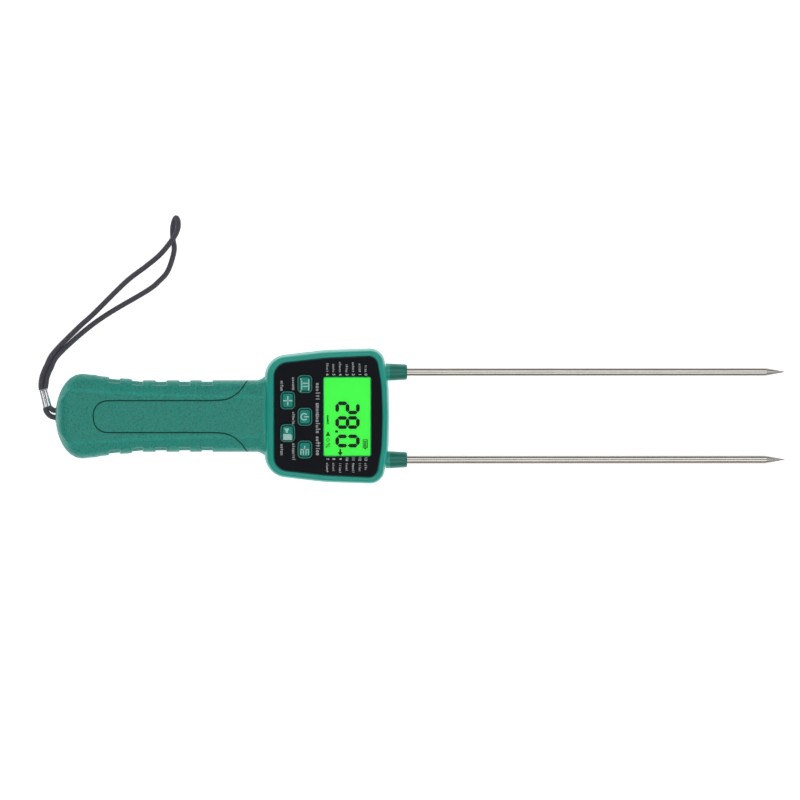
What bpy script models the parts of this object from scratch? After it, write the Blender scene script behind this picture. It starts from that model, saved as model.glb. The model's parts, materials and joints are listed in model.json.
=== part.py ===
"""Grain moisture meter: a moulded housing with a long handle, a square head with a key and
display panel, two steel probe rods and a wrist strap.

It lies on its back at z = 0. +X runs along the handle to the probe tips, +Z comes out of the
display, and the origin is under the middle of the housing and rods. Lengths are in millimetres
and are scaled to metres when a mesh is made.
"""

from math import acos, atan2, ceil, cos, hypot, pi, radians, sin, sqrt

import bmesh
import bpy
from mathutils import Matrix, Vector

MM = 0.001
GAP = 0.3

# Housing
HALF_LENGTH = 233.7
SPLIT_Z = 15.0
HANDLE_TOP = 26.0
HEAD_TOP = 30.0
WALL = 2.4
FLOOR = 2.2
HANDLE_WALL = 5.2
FLAT_INSET = 8.0
PANEL_BED = 28.0
PANEL_TOP = 29.5
DECK_UNDER = 26.0

# Half of the head's outline, as (x, y, corner radius) from the middle of the rear edge round to
# the middle of the front edge, and the same corners of the recess for the panel.
HEAD_CORNERS = [(-99.8, 37.9, 14.3), (-61.0, 42.4, 120.0), (-24.3, 43.6, 9.5), (-20.5, 20.0, 60.0)]
RECESS_CORNERS = [(-94.0, 33.8, 9.0), (-61.0, 37.5, 110.0), (-28.4, 39.0, 6.0), (-25.2, 20.0, 60.0)]
HEAD_NOSE = (-19.9, 0.0, 200.0)
RECESS_NOSE = (-24.5, 0.0, 180.0)
CORNER_STEPS = 5

# Handle: (x, half width) where its outline changes, then straight on into the head.
HANDLE_WIDTHS = [(-217.0, 27.2), (-210.0, 26.6), (-203.0, 25.5), (-196.0, 24.5), (-188.0, 24.1),
                 (-180.0, 23.0), (-104.0, 23.0), (-101.5, 24.2), (-97.0, 28.5), (-92.0, 30.0)]
END_REACH = 16.7
GRIP_NOTCHES = [-195.9, -181.3, -166.2, -151.0, -136.7]
NOTCH_LENGTH = 7.4
NOTCH_DEPTH = 1.1

# Probes
PROBE_Y = 28.1
ROD_RADIUS = 3.0
ROD_SHOULDER = -15.0
TIP_LENGTH = 12.3
STUD_RADIUS = 2.0
BOSS_END = -8.7
BUSH_RADIUS = 3.8

# Display
WINDOW_X = (-62.6, -31.7)
WINDOW_HALF = 25.6
LCD_X = (-66.5, -29.2)
LCD_HALF = 28.8

# Keys: name and middle
KEY_PLACES = {"key_bars": (-74.2, 20.9), "key_power": (-74.2, 0.0), "key_fork": (-74.2, -20.9),
              "key_plus": (-85.1, 10.45), "key_voice": (-85.1, -10.45)}
KEY_SIZE = (9.4, 11.5)
KEY_CORNER = 2.9
KEY_TOP = 30.4
KEY_FLANGE = 0.5

# Circuit board
BOARD_X = (-93.5, -33.0)
BOARD_HALF = 25.0
BOARD_UNDER = 17.0
BOARD_TOP = 18.6

# Battery bay
CELL_RADIUS = 5.25
CELL_LENGTH = 44.5
CELL_NUB = 1.0
CELL_Z = 8.2
CELL_Y = 5.6
SPRING_LENGTH = 5.6
PLATE = 0.4
BAY_X = (-210.1, -113.4)
BAY_HALF = 13.8
DOOR_TOP = 2.5
HINGE_RADIUS = 1.1

# Loudspeaker
SPEAKER_PLACE = (-62.0, 0.0)
SPEAKER_RADIUS = 15.2

# Screws
CASE_SCREWS = [(-34.5, 33.8), (-34.5, -33.8), (-88.5, 30.0), (-88.5, -30.0), (-216.4, 13.6),
               (-216.4, -13.6)]
BOARD_SCREWS = [(-90.0, 21.0), (-90.0, -21.0)]
POST_RADIUS = 4.3
SCREW_RADIUS = 1.5

# Wrist strap: one cord of 3 mm, both ends in the handle. The route is the cord's middle line.
CORD_RADIUS = 1.5
CRIMPED = 0.66
FERRULE_ENDS = ((-239.25, 5.85, 6.5), (-241.75, 15.85, 3.1))
STRAND_SHIFT = 1.175
SLOT_Y = (-4.2, 5.75)
SLOT_Z = (7.25, 10.7)
CORD_ROUTE = [
    (-224.3, -2.6, 9.0), (-233.7, -1.2, 8.9), (-237.6, 0.2, 8.4), (-239.9, 3.0, 7.4),
    (-240.4, 5.6, 6.5), (-241.65, 10.6, 4.8), (-242.9, 15.6, 3.1), (-243.3, 20.5, 2.1),
    (-242.3, 26.0, 1.6), (-239.8, 31.8, 1.5), (-235.0, 40.4, 1.5), (-219.4, 56.3, 1.5),
    (-209.7, 65.1, 1.5), (-188.9, 85.6, 1.5), (-175.7, 95.8, 1.6), (-166.5, 103.6, 2.6),
    (-158.9, 113.0, 4.9), (-155.4, 119.0, 7.0), (-154.7, 124.0, 6.6), (-156.3, 127.0, 4.3),
    (-158.6, 124.2, 2.0), (-159.3, 119.0, 1.5), (-158.6, 113.0, 1.5), (-157.9, 105.5, 1.5),
    (-161.8, 93.0, 1.5), (-167.9, 85.8, 1.5), (-175.5, 79.8, 1.5), (-200.4, 65.1, 1.5),
    (-216.5, 53.3, 1.5), (-232.4, 38.6, 1.5), (-237.0, 30.3, 1.5), (-239.3, 24.9, 1.7),
    (-240.1, 20.2, 2.2), (-240.6, 16.1, 3.1), (-239.35, 11.1, 4.8), (-238.1, 6.1, 6.5),
    (-236.3, 4.2, 7.9), (-233.7, 3.4, 8.9), (-224.3, 3.8, 9.0)]


# ---------------------------------------------------------------- materials


def material(name, color, roughness, metallic=0.0, emission=0.0):
    made = bpy.data.materials.new(name)
    made.use_nodes = True
    shader = made.node_tree.nodes["Principled BSDF"]
    shader.inputs["Base Color"].default_value = (*color, 1.0)
    shader.inputs["Roughness"].default_value = roughness
    shader.inputs["Metallic"].default_value = metallic
    if emission:
        shader.inputs["Emission Color"].default_value = (*color, 1.0)
        shader.inputs["Emission Strength"].default_value = emission
    return made


def make_materials():
    return {
        "green": material("housing_green", (0.03, 0.22, 0.17), 0.45),
        "black": material("panel_black", (0.012, 0.013, 0.017), 0.2),
        "clear": material("window_clear", (0.6, 0.7, 0.6), 0.05),
        "display": material("display_green", (0.08, 1.0, 0.09), 0.3, emission=1.0),
        "white": material("light_guide_white", (0.8, 0.8, 0.8), 0.4),
        "dark": material("dark_plastic", (0.03, 0.03, 0.03), 0.5),
        "board": material("board_green", (0.01, 0.12, 0.05), 0.4),
        "steel": material("ground_steel", (0.6, 0.58, 0.55), 0.25, 1.0),
        "brass": material("brass", (0.8, 0.6, 0.25), 0.3, 1.0),
        "tin": material("tinned_steel", (0.7, 0.7, 0.7), 0.3, 1.0),
        "cell": material("cell_wrap", (0.05, 0.08, 0.2), 0.4),
        "rubber": material("rubber", (0.05, 0.05, 0.05), 0.8),
        "wire_red": material("wire_red", (0.6, 0.03, 0.02), 0.5),
        "wire_black": material("wire_black", (0.02, 0.02, 0.02), 0.5),
        "cord": material("cord_black", (0.03, 0.03, 0.035), 0.8),
    }


# ---------------------------------------------------------------- building blocks


def place(name, shape, finish, origin=(0.0, 0.0, 0.0)):
    """A mesh object from a bmesh in millimetres, with its object origin at `origin`."""
    bmesh.ops.recalc_face_normals(shape, faces=shape.faces)
    bmesh.ops.transform(shape, matrix=Matrix.Scale(MM, 4) @ Matrix.Translation(-Vector(origin)),
                        verts=shape.verts)
    mesh = bpy.data.meshes.new(name)
    shape.to_mesh(mesh)
    shape.free()
    thing = bpy.data.objects.new(name, mesh)
    thing.location = Vector(origin) * MM
    bpy.context.collection.objects.link(thing)
    if finish is None:
        thing.hide_render = True
        thing.display_type = "WIRE"
    else:
        mesh.materials.append(finish)
        mesh.shade_smooth()
        mesh.set_sharp_from_angle(angle=radians(35))
    return thing


def add_loft(shape, rings, cyclic=False):
    """Adds a solid through rings of equally many points: capped ends, or a closed ring of rings."""
    rows = [[shape.verts.new(point) for point in ring] for ring in rings]
    count = len(rows[0])
    pairs = list(zip(rows, rows[1:]))
    if cyclic:
        pairs.append((rows[-1], rows[0]))
    else:
        shape.faces.new(rows[0])
        shape.faces.new(rows[-1])
    for one, two in pairs:
        for i in range(count):
            j = (i + 1) % count
            shape.faces.new((one[i], one[j], two[j], two[i]))


def add_prism(shape, outline, low, high):
    add_loft(shape, [[(x, y, low) for x, y in outline], [(x, y, high) for x, y in outline]])


def add_box(shape, xs, ys, zs):
    corners = [(xs[0], ys[0]), (xs[1], ys[0]), (xs[1], ys[1]), (xs[0], ys[1])]
    add_prism(shape, corners, *zs)


def solid(name, finish, *parts, origin=(0.0, 0.0, 0.0)):
    """One object from (function, arguments) pairs that each add a solid."""
    shape = bmesh.new()
    for function, *arguments in parts:
        function(shape, *arguments)
    return place(name, shape, finish, origin)


def boolean(target, operation, *parts):
    """Joins solids to `target`, or cuts them out of it, with a hidden helper object."""
    helper = solid(f"{target.name}_{operation.lower()}_{len(target.modifiers)}", None, *parts)
    step = target.modifiers.new(helper.name, "BOOLEAN")
    step.object = helper
    step.operation = operation
    step.solver = "EXACT"


def circle(radius, steps, shift=(0.0, 0.0)):
    return [(shift[0] + radius * cos(2 * pi * (i + 0.5) / steps),
             shift[1] + radius * sin(2 * pi * (i + 0.5) / steps)) for i in range(steps)]


def rounded_rectangle(middle, size, radius, steps=5):
    """Outline of a rectangle with round corners, anticlockwise from its right side."""
    points = []
    for quarter, (sx, sy) in enumerate([(1, 1), (-1, 1), (-1, -1), (1, -1)]):
        cx = middle[0] + sx * (size[0] / 2 - radius)
        cy = middle[1] + sy * (size[1] / 2 - radius)
        for i in range(steps):
            angle = (quarter + i / (steps - 1)) * pi / 2
            points.append((cx + radius * cos(angle), cy + radius * sin(angle)))
    return points


def hexagon(across_flats, per_side):
    points = []
    corner = across_flats / sqrt(3)
    for side in range(6):
        start = Vector((cos(side * pi / 3), sin(side * pi / 3))) * corner
        end = Vector((cos((side + 1) * pi / 3), sin((side + 1) * pi / 3))) * corner
        points += [tuple(start.lerp(end, i / per_side)) for i in range(per_side)]
    return points


def add_turned_z(shape, centre, profile, steps=16, cyclic=False):
    """Turns (radius, z) pairs about a vertical axis."""
    add_loft(shape, [[(x, y, z) for x, y in circle(r, steps, centre)] for r, z in profile], cyclic)


def add_turned_x(shape, centre, profile, steps=16, cyclic=False):
    """Turns (radius, x) pairs about an axis along X through centre (y, z)."""
    add_loft(shape, [[(x, y, z) for y, z in circle(r, steps, centre)] for r, x in profile], cyclic)


def fillet(corners, steps):
    """Rounds each corner (x, y, radius) of a closed polygon with an arc of `steps` points."""
    outline = []
    for i, (x, y, radius) in enumerate(corners):
        here = Vector((x, y))
        before = (Vector(corners[i - 1][:2]) - here).normalized()
        after = (Vector(corners[(i + 1) % len(corners)][:2]) - here).normalized()
        half = acos(max(-1.0, min(1.0, before.dot(after)))) / 2
        centre = here + (before + after).normalized() * radius / sin(half)
        start = here + before * radius * cos(half) / sin(half) - centre
        end = here + after * radius * cos(half) / sin(half) - centre
        turn = start.angle_signed(end)
        for k in range(steps):
            angle = atan2(start.y, start.x) - turn * k / (steps - 1)
            outline.append((centre.x + radius * cos(angle), centre.y + radius * sin(angle)))
    return outline


def mirrored(corners, nose):
    """The whole outline from its +Y half: rear edge, +Y side, nose, then the -Y side back."""
    return corners + [nose] + [(x, -y, r) for x, y, r in reversed(corners)]


def blend(one, two, share):
    return [((1 - share) * a[0] + share * b[0], (1 - share) * a[1] + share * b[1])
            for a, b in zip(one, two)]


def inset(outline, depth):
    """Moves a closed outline inwards by `depth`."""
    area = sum(a[0] * b[1] - b[0] * a[1] for a, b in zip(outline, outline[1:] + outline[:1]))
    turn = 1 if area > 0 else -1
    points = []
    for i, (x, y) in enumerate(outline):
        ahead = Vector(outline[(i + 1) % len(outline)]) - Vector(outline[i - 1])
        ahead.normalize()
        points.append((x - turn * ahead.y * depth, y + turn * ahead.x * depth))
    return points


def smooth_curve(points, spacing):
    """Points of a Catmull-Rom curve through `points`, no further apart than `spacing`."""
    line = [Vector(p) for p in points]
    line = [2 * line[0] - line[1]] + line + [2 * line[-1] - line[-2]]
    samples = []
    for a, b, c, d in zip(line, line[1:], line[2:], line[3:]):
        steps = max(1, ceil((c - b).length / spacing))
        for k in range(steps):
            t = k / steps
            samples.append(0.5 * (2 * b + (c - a) * t + (2 * a - 5 * b + 4 * c - d) * t * t
                                  + (3 * b - a - 3 * c + d) * t ** 3))
    samples.append(line[-2])
    return samples


def cord(name, points, radius, finish, radii=None, roundness=1):
    """A tube along a poly spline through `points`, with filled ends."""
    curve = bpy.data.curves.new(name, "CURVE")
    curve.dimensions = "3D"
    curve.bevel_depth = radius * MM
    curve.bevel_resolution = roundness
    curve.use_fill_caps = True
    spline = curve.splines.new("POLY")
    spline.points.add(len(points) - 1)
    for i, point in enumerate(points):
        spline.points[i].co = (*(Vector(point) * MM), 1.0)
        spline.points[i].radius = radii[i] if radii else 1.0
    curve.materials.append(finish)
    thing = bpy.data.objects.new(name, curve)
    bpy.context.collection.objects.link(thing)
    return thing


# ---------------------------------------------------------------- housing


def half_width(x):
    """Half the handle's width: an elliptical end, then eased steps between the listed widths."""
    first_x, first_width = HANDLE_WIDTHS[0]
    if x < first_x:
        share = (first_x - x) / END_REACH
        return first_width * sqrt(max(0.09, 1 - share * share))
    for (x0, w0), (x1, w1) in zip(HANDLE_WIDTHS, HANDLE_WIDTHS[1:]):
        if x <= x1:
            share = (x - x0) / (x1 - x0)
            return w0 + (w1 - w0) * share * share * (3 - 2 * share)
    return HANDLE_WIDTHS[-1][1]


def ridge(x):
    """Distance from the middle of the handle to the ridge beside its crown."""
    share = (-101.0 - x) / 117.0
    return 12.0 + 4.0 * share * share


def end_rounding(x, reach, least):
    """1 along the handle, falling on an ellipse to `least` at its end."""
    share = max(0.0, (reach - HALF_LENGTH - x) / reach)
    return max(least, sqrt(max(0.0, 1 - share * share)))


def handle_section(x):
    """Outer section of the handle at x, from its +Y side over the crown and back underneath."""
    width = half_width(x)
    size = min(1.0, width / 20.0)
    up = end_rounding(x, 7.0, 0.42)
    down = end_rounding(x, 5.0, 0.55)
    crest = min(ridge(x), width - 8.0 * size)
    upper = [(width, 0.0), (width - 0.3 * size, 2.6), (width - 1.6 * size, 5.3),
             (width - 4.3 * size, 7.7), (crest, 10.3), (crest / 2, 10.85)]
    lower = [(width - 0.3 * size, 3.0), (width - 1.4 * size, 7.5), (width - 4.0 * size, 12.4),
             (width - FLAT_INSET * size, SPLIT_Z)]
    above = upper + [(0.0, HANDLE_TOP - SPLIT_Z)] + [(-y, h) for y, h in reversed(upper)]
    below = [(-y, h) for y, h in lower] + lower[::-1]
    return ([(x, y, SPLIT_Z + h * up) for y, h in above]
            + [(x, y, SPLIT_Z - h * down) for y, h in below])


def cavity_section(x):
    """Section of the hollow inside the handle."""
    width = half_width(x) - HANDLE_WALL
    up = end_rounding(x, 7.0, 0.42)
    crest = min(ridge(x) - 2.0, width - 3.0)
    upper = [(width, 0.0), (width - 0.3, 3.0), (width - 1.6, 5.2), (crest, 7.6)]
    above = upper + [(0.0, 8.4)] + [(-y, h) for y, h in reversed(upper)]
    lower = [(-width + 1.0, 4.0), (-width + 3.0, FLOOR), (width - 3.0, FLOOR), (width - 1.0, 4.0)]
    return [(x, y, SPLIT_Z + h * up) for y, h in above] + [(x, y, z) for y, z in lower]


def add_handle(shape):
    last = HANDLE_WIDTHS[0][0]
    end = [last - END_REACH * sin(radians(angle)) for angle in (90, 81, 71, 60, 46, 32, 17)]
    add_loft(shape, [handle_section(x) for x in end + [x for x, _ in HANDLE_WIDTHS]])


def add_handle_cavity(shape):
    stations = [-228.5, -226.0, -222.0] + [x for x, _ in HANDLE_WIDTHS]
    add_loft(shape, [cavity_section(x) for x in stations])


def add_head(shape):
    outline = fillet(mirrored(HEAD_CORNERS, HEAD_NOSE), CORNER_STEPS)
    recess = fillet(mirrored(RECESS_CORNERS, RECESS_NOSE), CORNER_STEPS)
    sides = [(5.0, 0.0), (2.6, 1.3), (1.0, 4.2), (0.3, 9.0), (0.0, SPLIT_Z), (0.15, 25.6)]
    bezel = [(0.13, 28.0), (0.28, 29.4), (0.5, HEAD_TOP), (0.8, HEAD_TOP), (0.96, 29.7),
             (1.0, 29.2), (1.0, PANEL_BED)]
    rings = [[(x, y, z) for x, y in inset(outline, depth)] for depth, z in sides]
    rings += [[(x, y, z) for x, y in blend(outline, recess, share)] for share, z in bezel]
    add_loft(shape, rings)


def add_head_cavity(shape):
    outline = fillet(mirrored(HEAD_CORNERS, HEAD_NOSE), CORNER_STEPS)
    steps = [(7.0, FLOOR), (4.6, 3.4), (3.2, 5.5), (WALL + 0.2, 10.0), (WALL, SPLIT_Z),
             (WALL + 0.2, 24.5), (3.6, DECK_UNDER)]
    add_loft(shape, [[(x, y, z) for x, y in inset(outline, depth)] for depth, z in steps])


def probe_centres():
    return [(PROBE_Y, SPLIT_Z), (-PROBE_Y, SPLIT_Z)]


def add_bosses(shape):
    for centre in probe_centres():
        add_turned_x(shape, centre, [(5.6, -24.0), (5.5, -19.9), (5.0, -9.4), (4.6, BOSS_END)], 16)


def add_bush_bores(shape):
    for centre in probe_centres():
        add_turned_x(shape, centre, [(5.8, -27.0), (5.8, -22.2), (BUSH_RADIUS + GAP, -22.2),
                                     (BUSH_RADIUS + GAP, ROD_SHOULDER),
                                     (ROD_RADIUS + GAP, ROD_SHOULDER), (ROD_RADIUS + GAP, -6.0)])


def add_grip_notches(shape):
    """Shallow cuts in each side of the handle, up to its sloping shoulder."""
    for x in GRIP_NOTCHES:
        for side in (1, -1):
            rings = []
            for end in (x - NOTCH_LENGTH / 2, x + NOTCH_LENGTH / 2):
                edge = half_width(end) - NOTCH_DEPTH
                section = [(edge, 8.5), (edge, 18.0), (edge - 2.2, 20.6), (edge - 2.2, 26.0),
                           (edge + 5.0, 26.0), (edge + 5.0, 8.5)]
                rings.append([(end, side * y, z) for y, z in section])
            add_loft(shape, rings)


def add_posts(shape, places, radius, low, high):
    for centre in places:
        add_turned_z(shape, centre, [(radius, low), (radius, high)])


def add_key_openings(shape, low, high):
    for middle in KEY_PLACES.values():
        size = (KEY_SIZE[0] + 2 * GAP, KEY_SIZE[1] + 2 * GAP)
        add_prism(shape, rounded_rectangle(middle, size, KEY_CORNER + GAP), low, high)


def window_outline(margin):
    middle = (sum(WINDOW_X) / 2, 0.0)
    size = (WINDOW_X[1] - WINDOW_X[0] + 2 * margin, 2 * (WINDOW_HALF + margin))
    return rounded_rectangle(middle, size, 1.6 + margin)


def housing(name, finish):
    """The whole moulding, hollowed, before it is parted into its two shells."""
    shell = solid(name, finish, (add_head,))
    boolean(shell, "UNION", (add_handle,))
    boolean(shell, "UNION", (add_bosses,))
    boolean(shell, "DIFFERENCE", (add_head_cavity,))
    boolean(shell, "DIFFERENCE", (add_handle_cavity,))
    boolean(shell, "DIFFERENCE", (add_bush_bores,), (add_grip_notches,))
    return shell


def make_front_shell(finish):
    shell = housing("front_shell", finish)
    head_screws = [p for p in CASE_SCREWS if p[0] > -100]
    handle_screws = [p for p in CASE_SCREWS if p[0] < -100]
    boolean(shell, "UNION", (add_posts, head_screws, POST_RADIUS, 12.0, 26.6),
            (add_posts, handle_screws, POST_RADIUS, 12.0, 23.2),
            (add_posts, BOARD_SCREWS, 2.6, BOARD_TOP + GAP, 26.6))
    boolean(shell, "DIFFERENCE", (add_posts, CASE_SCREWS, SCREW_RADIUS + GAP, 11.0, 21.5),
            (add_posts, BOARD_SCREWS, 1.3, 16.0, 24.5),
            (add_key_openings, 25.0, 29.0), (add_prism, window_outline(-0.7), 25.0, 29.0))
    boolean(shell, "DIFFERENCE",
            (add_box, (-240.0, 0.0), (-60.0, 60.0), (-5.0, SPLIT_Z + GAP / 2)))


def add_grille(shape, centre, reach):
    for k in range(-3, 4):
        x = centre[0] + 3.2 * k
        half = sqrt(reach * reach - (3.2 * k) ** 2)
        add_prism(shape, rounded_rectangle((x, centre[1]), (1.4, 2 * half), 0.69), -1.0, 3.0)


def make_rear_shell(finish):
    shell = housing("rear_shell", finish)
    bay_sides = (BAY_X[0] + 1.1, BAY_X[1] - 1.1)
    boolean(shell, "UNION", (add_posts, CASE_SCREWS, POST_RADIUS, 1.0, 17.0),
            (add_box, bay_sides, (14.2, 15.4), (1.0, 10.0)),
            (add_box, bay_sides, (-15.4, -14.2), (1.0, 10.0)),
            (add_box, (-211.9, -210.4), (-12.6, 12.6), (1.0, 13.0)),
            (add_box, (-113.2, -111.7), (-12.6, 12.6), (1.0, 13.0)),
            (add_turned_z, SPEAKER_PLACE, [(15.8, 1.0), (17.2, 1.0), (17.2, 5.5), (15.8, 5.5)],
             32, True))
    boolean(shell, "DIFFERENCE", (add_posts, CASE_SCREWS, 3.1, -1.0, 4.4),
            (add_box, BAY_X, (-BAY_HALF, BAY_HALF), (-1.0, 3.0)),
            (add_box, (-236.0, -226.0), SLOT_Y, SLOT_Z), (add_grille, SPEAKER_PLACE, 12.0))
    boolean(shell, "DIFFERENCE", (add_posts, CASE_SCREWS, 1.9, 3.0, 18.0))
    boolean(shell, "DIFFERENCE",
            (add_box, (-240.0, 0.0), (-60.0, 60.0), (SPLIT_Z - GAP / 2, 40.0)))


# ---------------------------------------------------------------- panel, display and keys


def make_face_panel(finish):
    outline = inset(fillet(mirrored(RECESS_CORNERS, RECESS_NOSE), CORNER_STEPS), GAP)
    panel = solid("face_panel", finish, (add_prism, outline, PANEL_BED + GAP, PANEL_TOP))
    boolean(panel, "DIFFERENCE", (add_key_openings, 27.0, 31.0),
            (add_prism, window_outline(0.0), 27.0, 31.0))


def make_display(finishes):
    solid("display_window", finishes["clear"],
          (add_prism, window_outline(-GAP), PANEL_BED + GAP, PANEL_TOP))
    low, high = LCD_X
    frame = solid("lcd_frame", finishes["dark"],
                  (add_box, LCD_X, (-LCD_HALF, LCD_HALF), (BOARD_TOP + GAP, 25.7)))
    pocket = (low + 1.2, high - 1.2)
    half = LCD_HALF - 1.2
    boolean(frame, "DIFFERENCE", (add_box, pocket, (-half, half), (20.3, 27.0)))
    strip = (pocket[0] + GAP, pocket[0] + GAP + 1.8)
    boolean(frame, "DIFFERENCE",
            (add_box, (pocket[0], strip[1] + GAP), (2 * GAP - half, half - 2 * GAP), (18.0, 21.0)))
    strip_half = half - 3 * GAP
    solid("lcd_connector", finishes["rubber"],
          (add_box, strip, (-strip_half, strip_half), (BOARD_TOP + GAP, 22.9)))
    inner = half - GAP
    solid("lcd_backlight", finishes["white"],
          (add_box, (strip[1] + GAP, pocket[1] - GAP), (-inner, inner), (20.6, 22.9)))
    solid("lcd_cell", finishes["display"],
          (add_box, (pocket[0] + GAP, pocket[1] - GAP), (-inner, inner), (23.2, 25.6)))


def add_key(shape, middle):
    """A cap with a flange below the deck and a plunger down into its switch."""
    steps = 5
    flange = rounded_rectangle(middle, [side + 2 * KEY_FLANGE for side in KEY_SIZE],
                               KEY_CORNER + KEY_FLANGE, steps)
    cap = rounded_rectangle(middle, KEY_SIZE, KEY_CORNER, steps)
    rim = rounded_rectangle(middle, [side - 0.7 for side in KEY_SIZE], KEY_CORNER - 0.35, steps)
    plunger = [(middle[0] + 1.7 * (x - middle[0]) / hypot(x - middle[0], y - middle[1]),
                middle[1] + 1.7 * (y - middle[1]) / hypot(x - middle[0], y - middle[1]))
               for x, y in cap]
    levels = [(plunger, 21.0), (plunger, 24.6), (flange, 24.6), (flange, 25.6), (cap, 25.6),
              (cap, KEY_TOP - 0.35), (rim, KEY_TOP)]
    add_loft(shape, [[(x, y, z) for x, y in outline] for outline, z in levels])


def make_keys(finishes):
    for name, middle in KEY_PLACES.items():
        solid(name, finishes["green"], (add_key, middle), origin=(*middle, KEY_TOP))
        base = solid(name.replace("key", "switch"), finishes["dark"],
                     (add_prism, rounded_rectangle(middle, (6.0, 6.0), 0.5, 3),
                      BOARD_TOP + GAP, 22.4))
        boolean(base, "DIFFERENCE", (add_turned_z, middle, [(2.0, 19.8), (2.0, 24.0)]))


# ---------------------------------------------------------------- circuit board and loudspeaker


def make_board(finishes):
    outline = [(BOARD_X[0], -BOARD_HALF), (BOARD_X[1], -BOARD_HALF), (BOARD_X[1], BOARD_HALF),
               (BOARD_X[0], BOARD_HALF)]
    board = solid("main_board", finishes["board"], (add_prism, outline, BOARD_UNDER, BOARD_TOP))
    boolean(board, "DIFFERENCE", (add_posts, BOARD_SCREWS, 1.4, 16.0, 20.0))
    for name, middle, size in [("processor_chip", (-78.0, 14.0), (10.0, 10.0)),
                               ("voice_chip", (-78.0, -14.0), (6.0, 9.0))]:
        solid(name, finishes["dark"],
              (add_prism, rounded_rectangle(middle, size, 0.3, 2), 15.4, BOARD_UNDER - GAP))


def make_speaker(finishes):
    radius = SPEAKER_RADIUS
    solid("speaker", finishes["dark"],
          (add_turned_z, SPEAKER_PLACE, [(radius, 2.5), (radius, 4.2), (11.0, 7.4)], 32))
    solid("speaker_magnet", finishes["steel"],
          (add_turned_z, SPEAKER_PLACE, [(7.5, 7.7), (7.5, 10.7)], 24))


# ---------------------------------------------------------------- batteries


def add_cell(shape, row, start, nub_side):
    """One cell from x = start towards +X, its nub at the end that nub_side points to."""
    end = start + CELL_LENGTH
    profile = [(CELL_RADIUS - 0.6, 0.0), (CELL_RADIUS, 0.6), (CELL_RADIUS, 42.9),
               (CELL_RADIUS - 0.6, CELL_LENGTH - CELL_NUB), (1.9, CELL_LENGTH - CELL_NUB),
               (1.9, CELL_LENGTH)]
    if nub_side > 0:
        turned = [(r, start + x) for r, x in profile]
    else:
        turned = [(r, end - x) for r, x in profile]
    add_turned_x(shape, (row, CELL_Z), turned)


def spring_route(start, end, row):
    """A conical coil spring along X: wide at `start`, where its plate is, and narrow at `end`."""
    turns, per_turn = 3, 8
    points = []
    for i in range(turns * per_turn + 1):
        share = i / (turns * per_turn)
        radius = 3.4 - 1.6 * share
        angle = 2 * pi * turns * share
        points.append((start + (end - start) * share, row + radius * cos(angle),
                       CELL_Z + radius * sin(angle)))
    return points


def make_batteries(finishes):
    rear = BAY_X[0] + PLATE
    front = rear + 3 * GAP + SPRING_LENGTH + 2 * CELL_LENGTH + GAP
    near = rear + 2 * GAP + SPRING_LENGTH
    starts = [("battery_cell_1", CELL_Y, near, 1),
              ("battery_cell_2", CELL_Y, near + CELL_LENGTH + GAP, 1),
              ("battery_cell_3", -CELL_Y, rear + GAP, -1),
              ("battery_cell_4", -CELL_Y, rear + 2 * GAP + CELL_LENGTH, -1)]
    for name, row, start, side in starts:
        solid(name, finishes["cell"], (add_cell, row, start, side))
    wire = 0.4
    cord("battery_spring_1", spring_route(rear + GAP + wire, near - GAP - wire, CELL_Y), wire,
         finishes["tin"])
    cord("battery_spring_2",
         spring_route(front - GAP - wire, front - SPRING_LENGTH - GAP + wire, -CELL_Y), wire,
         finishes["tin"])
    solid("battery_link", finishes["tin"],
          (add_box, (BAY_X[0], rear), (-9.8, 9.8), (3.0, 13.4)))
    for name, row in [("battery_contact_plus", CELL_Y), ("battery_contact_minus", -CELL_Y)]:
        solid(name, finishes["tin"],
              (add_box, (front, front + PLATE), (row - 4.6, row + 4.6), (3.0, 14.4)))


def make_battery_door(finish):
    """A cover flush with the back; it swings on a round edge at its end nearest the head."""
    low, high = BAY_X[0] + GAP, BAY_X[1] - GAP
    axis = (high - HINGE_RADIUS, 0.0, DOOR_TOP - HINGE_RADIUS)
    half = BAY_HALF - GAP
    section = [(low, GAP), (low, DOOR_TOP)]
    for k in range(7):
        angle = pi / 2 - k * pi / 6
        section.append((axis[0] + HINGE_RADIUS * cos(angle), axis[2] + HINGE_RADIUS * sin(angle)))
    rings = [[(x, y, z) for x, z in section] for y in (-half, half)]
    door = solid("battery_door", finish, (add_loft, rings), origin=axis)
    latch = low + 1.4
    boolean(door, "UNION", (add_box, (latch, latch + 1.0), (-1.0, 1.0), (2.0, 4.6)))
    dish = [(x, y, z) for x, y, z in ((7.0, 5.0, GAP - 1.0), (6.4, 4.4, GAP + 0.7))]
    rings = [[(x, y, z) for x, y in rounded_rectangle((low + 14.0, 0.0), (2 * a, 2 * b), b - 0.2)]
             for a, b, z in dish]
    boolean(door, "DIFFERENCE", (add_loft, rings))


# ---------------------------------------------------------------- probes


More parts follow.
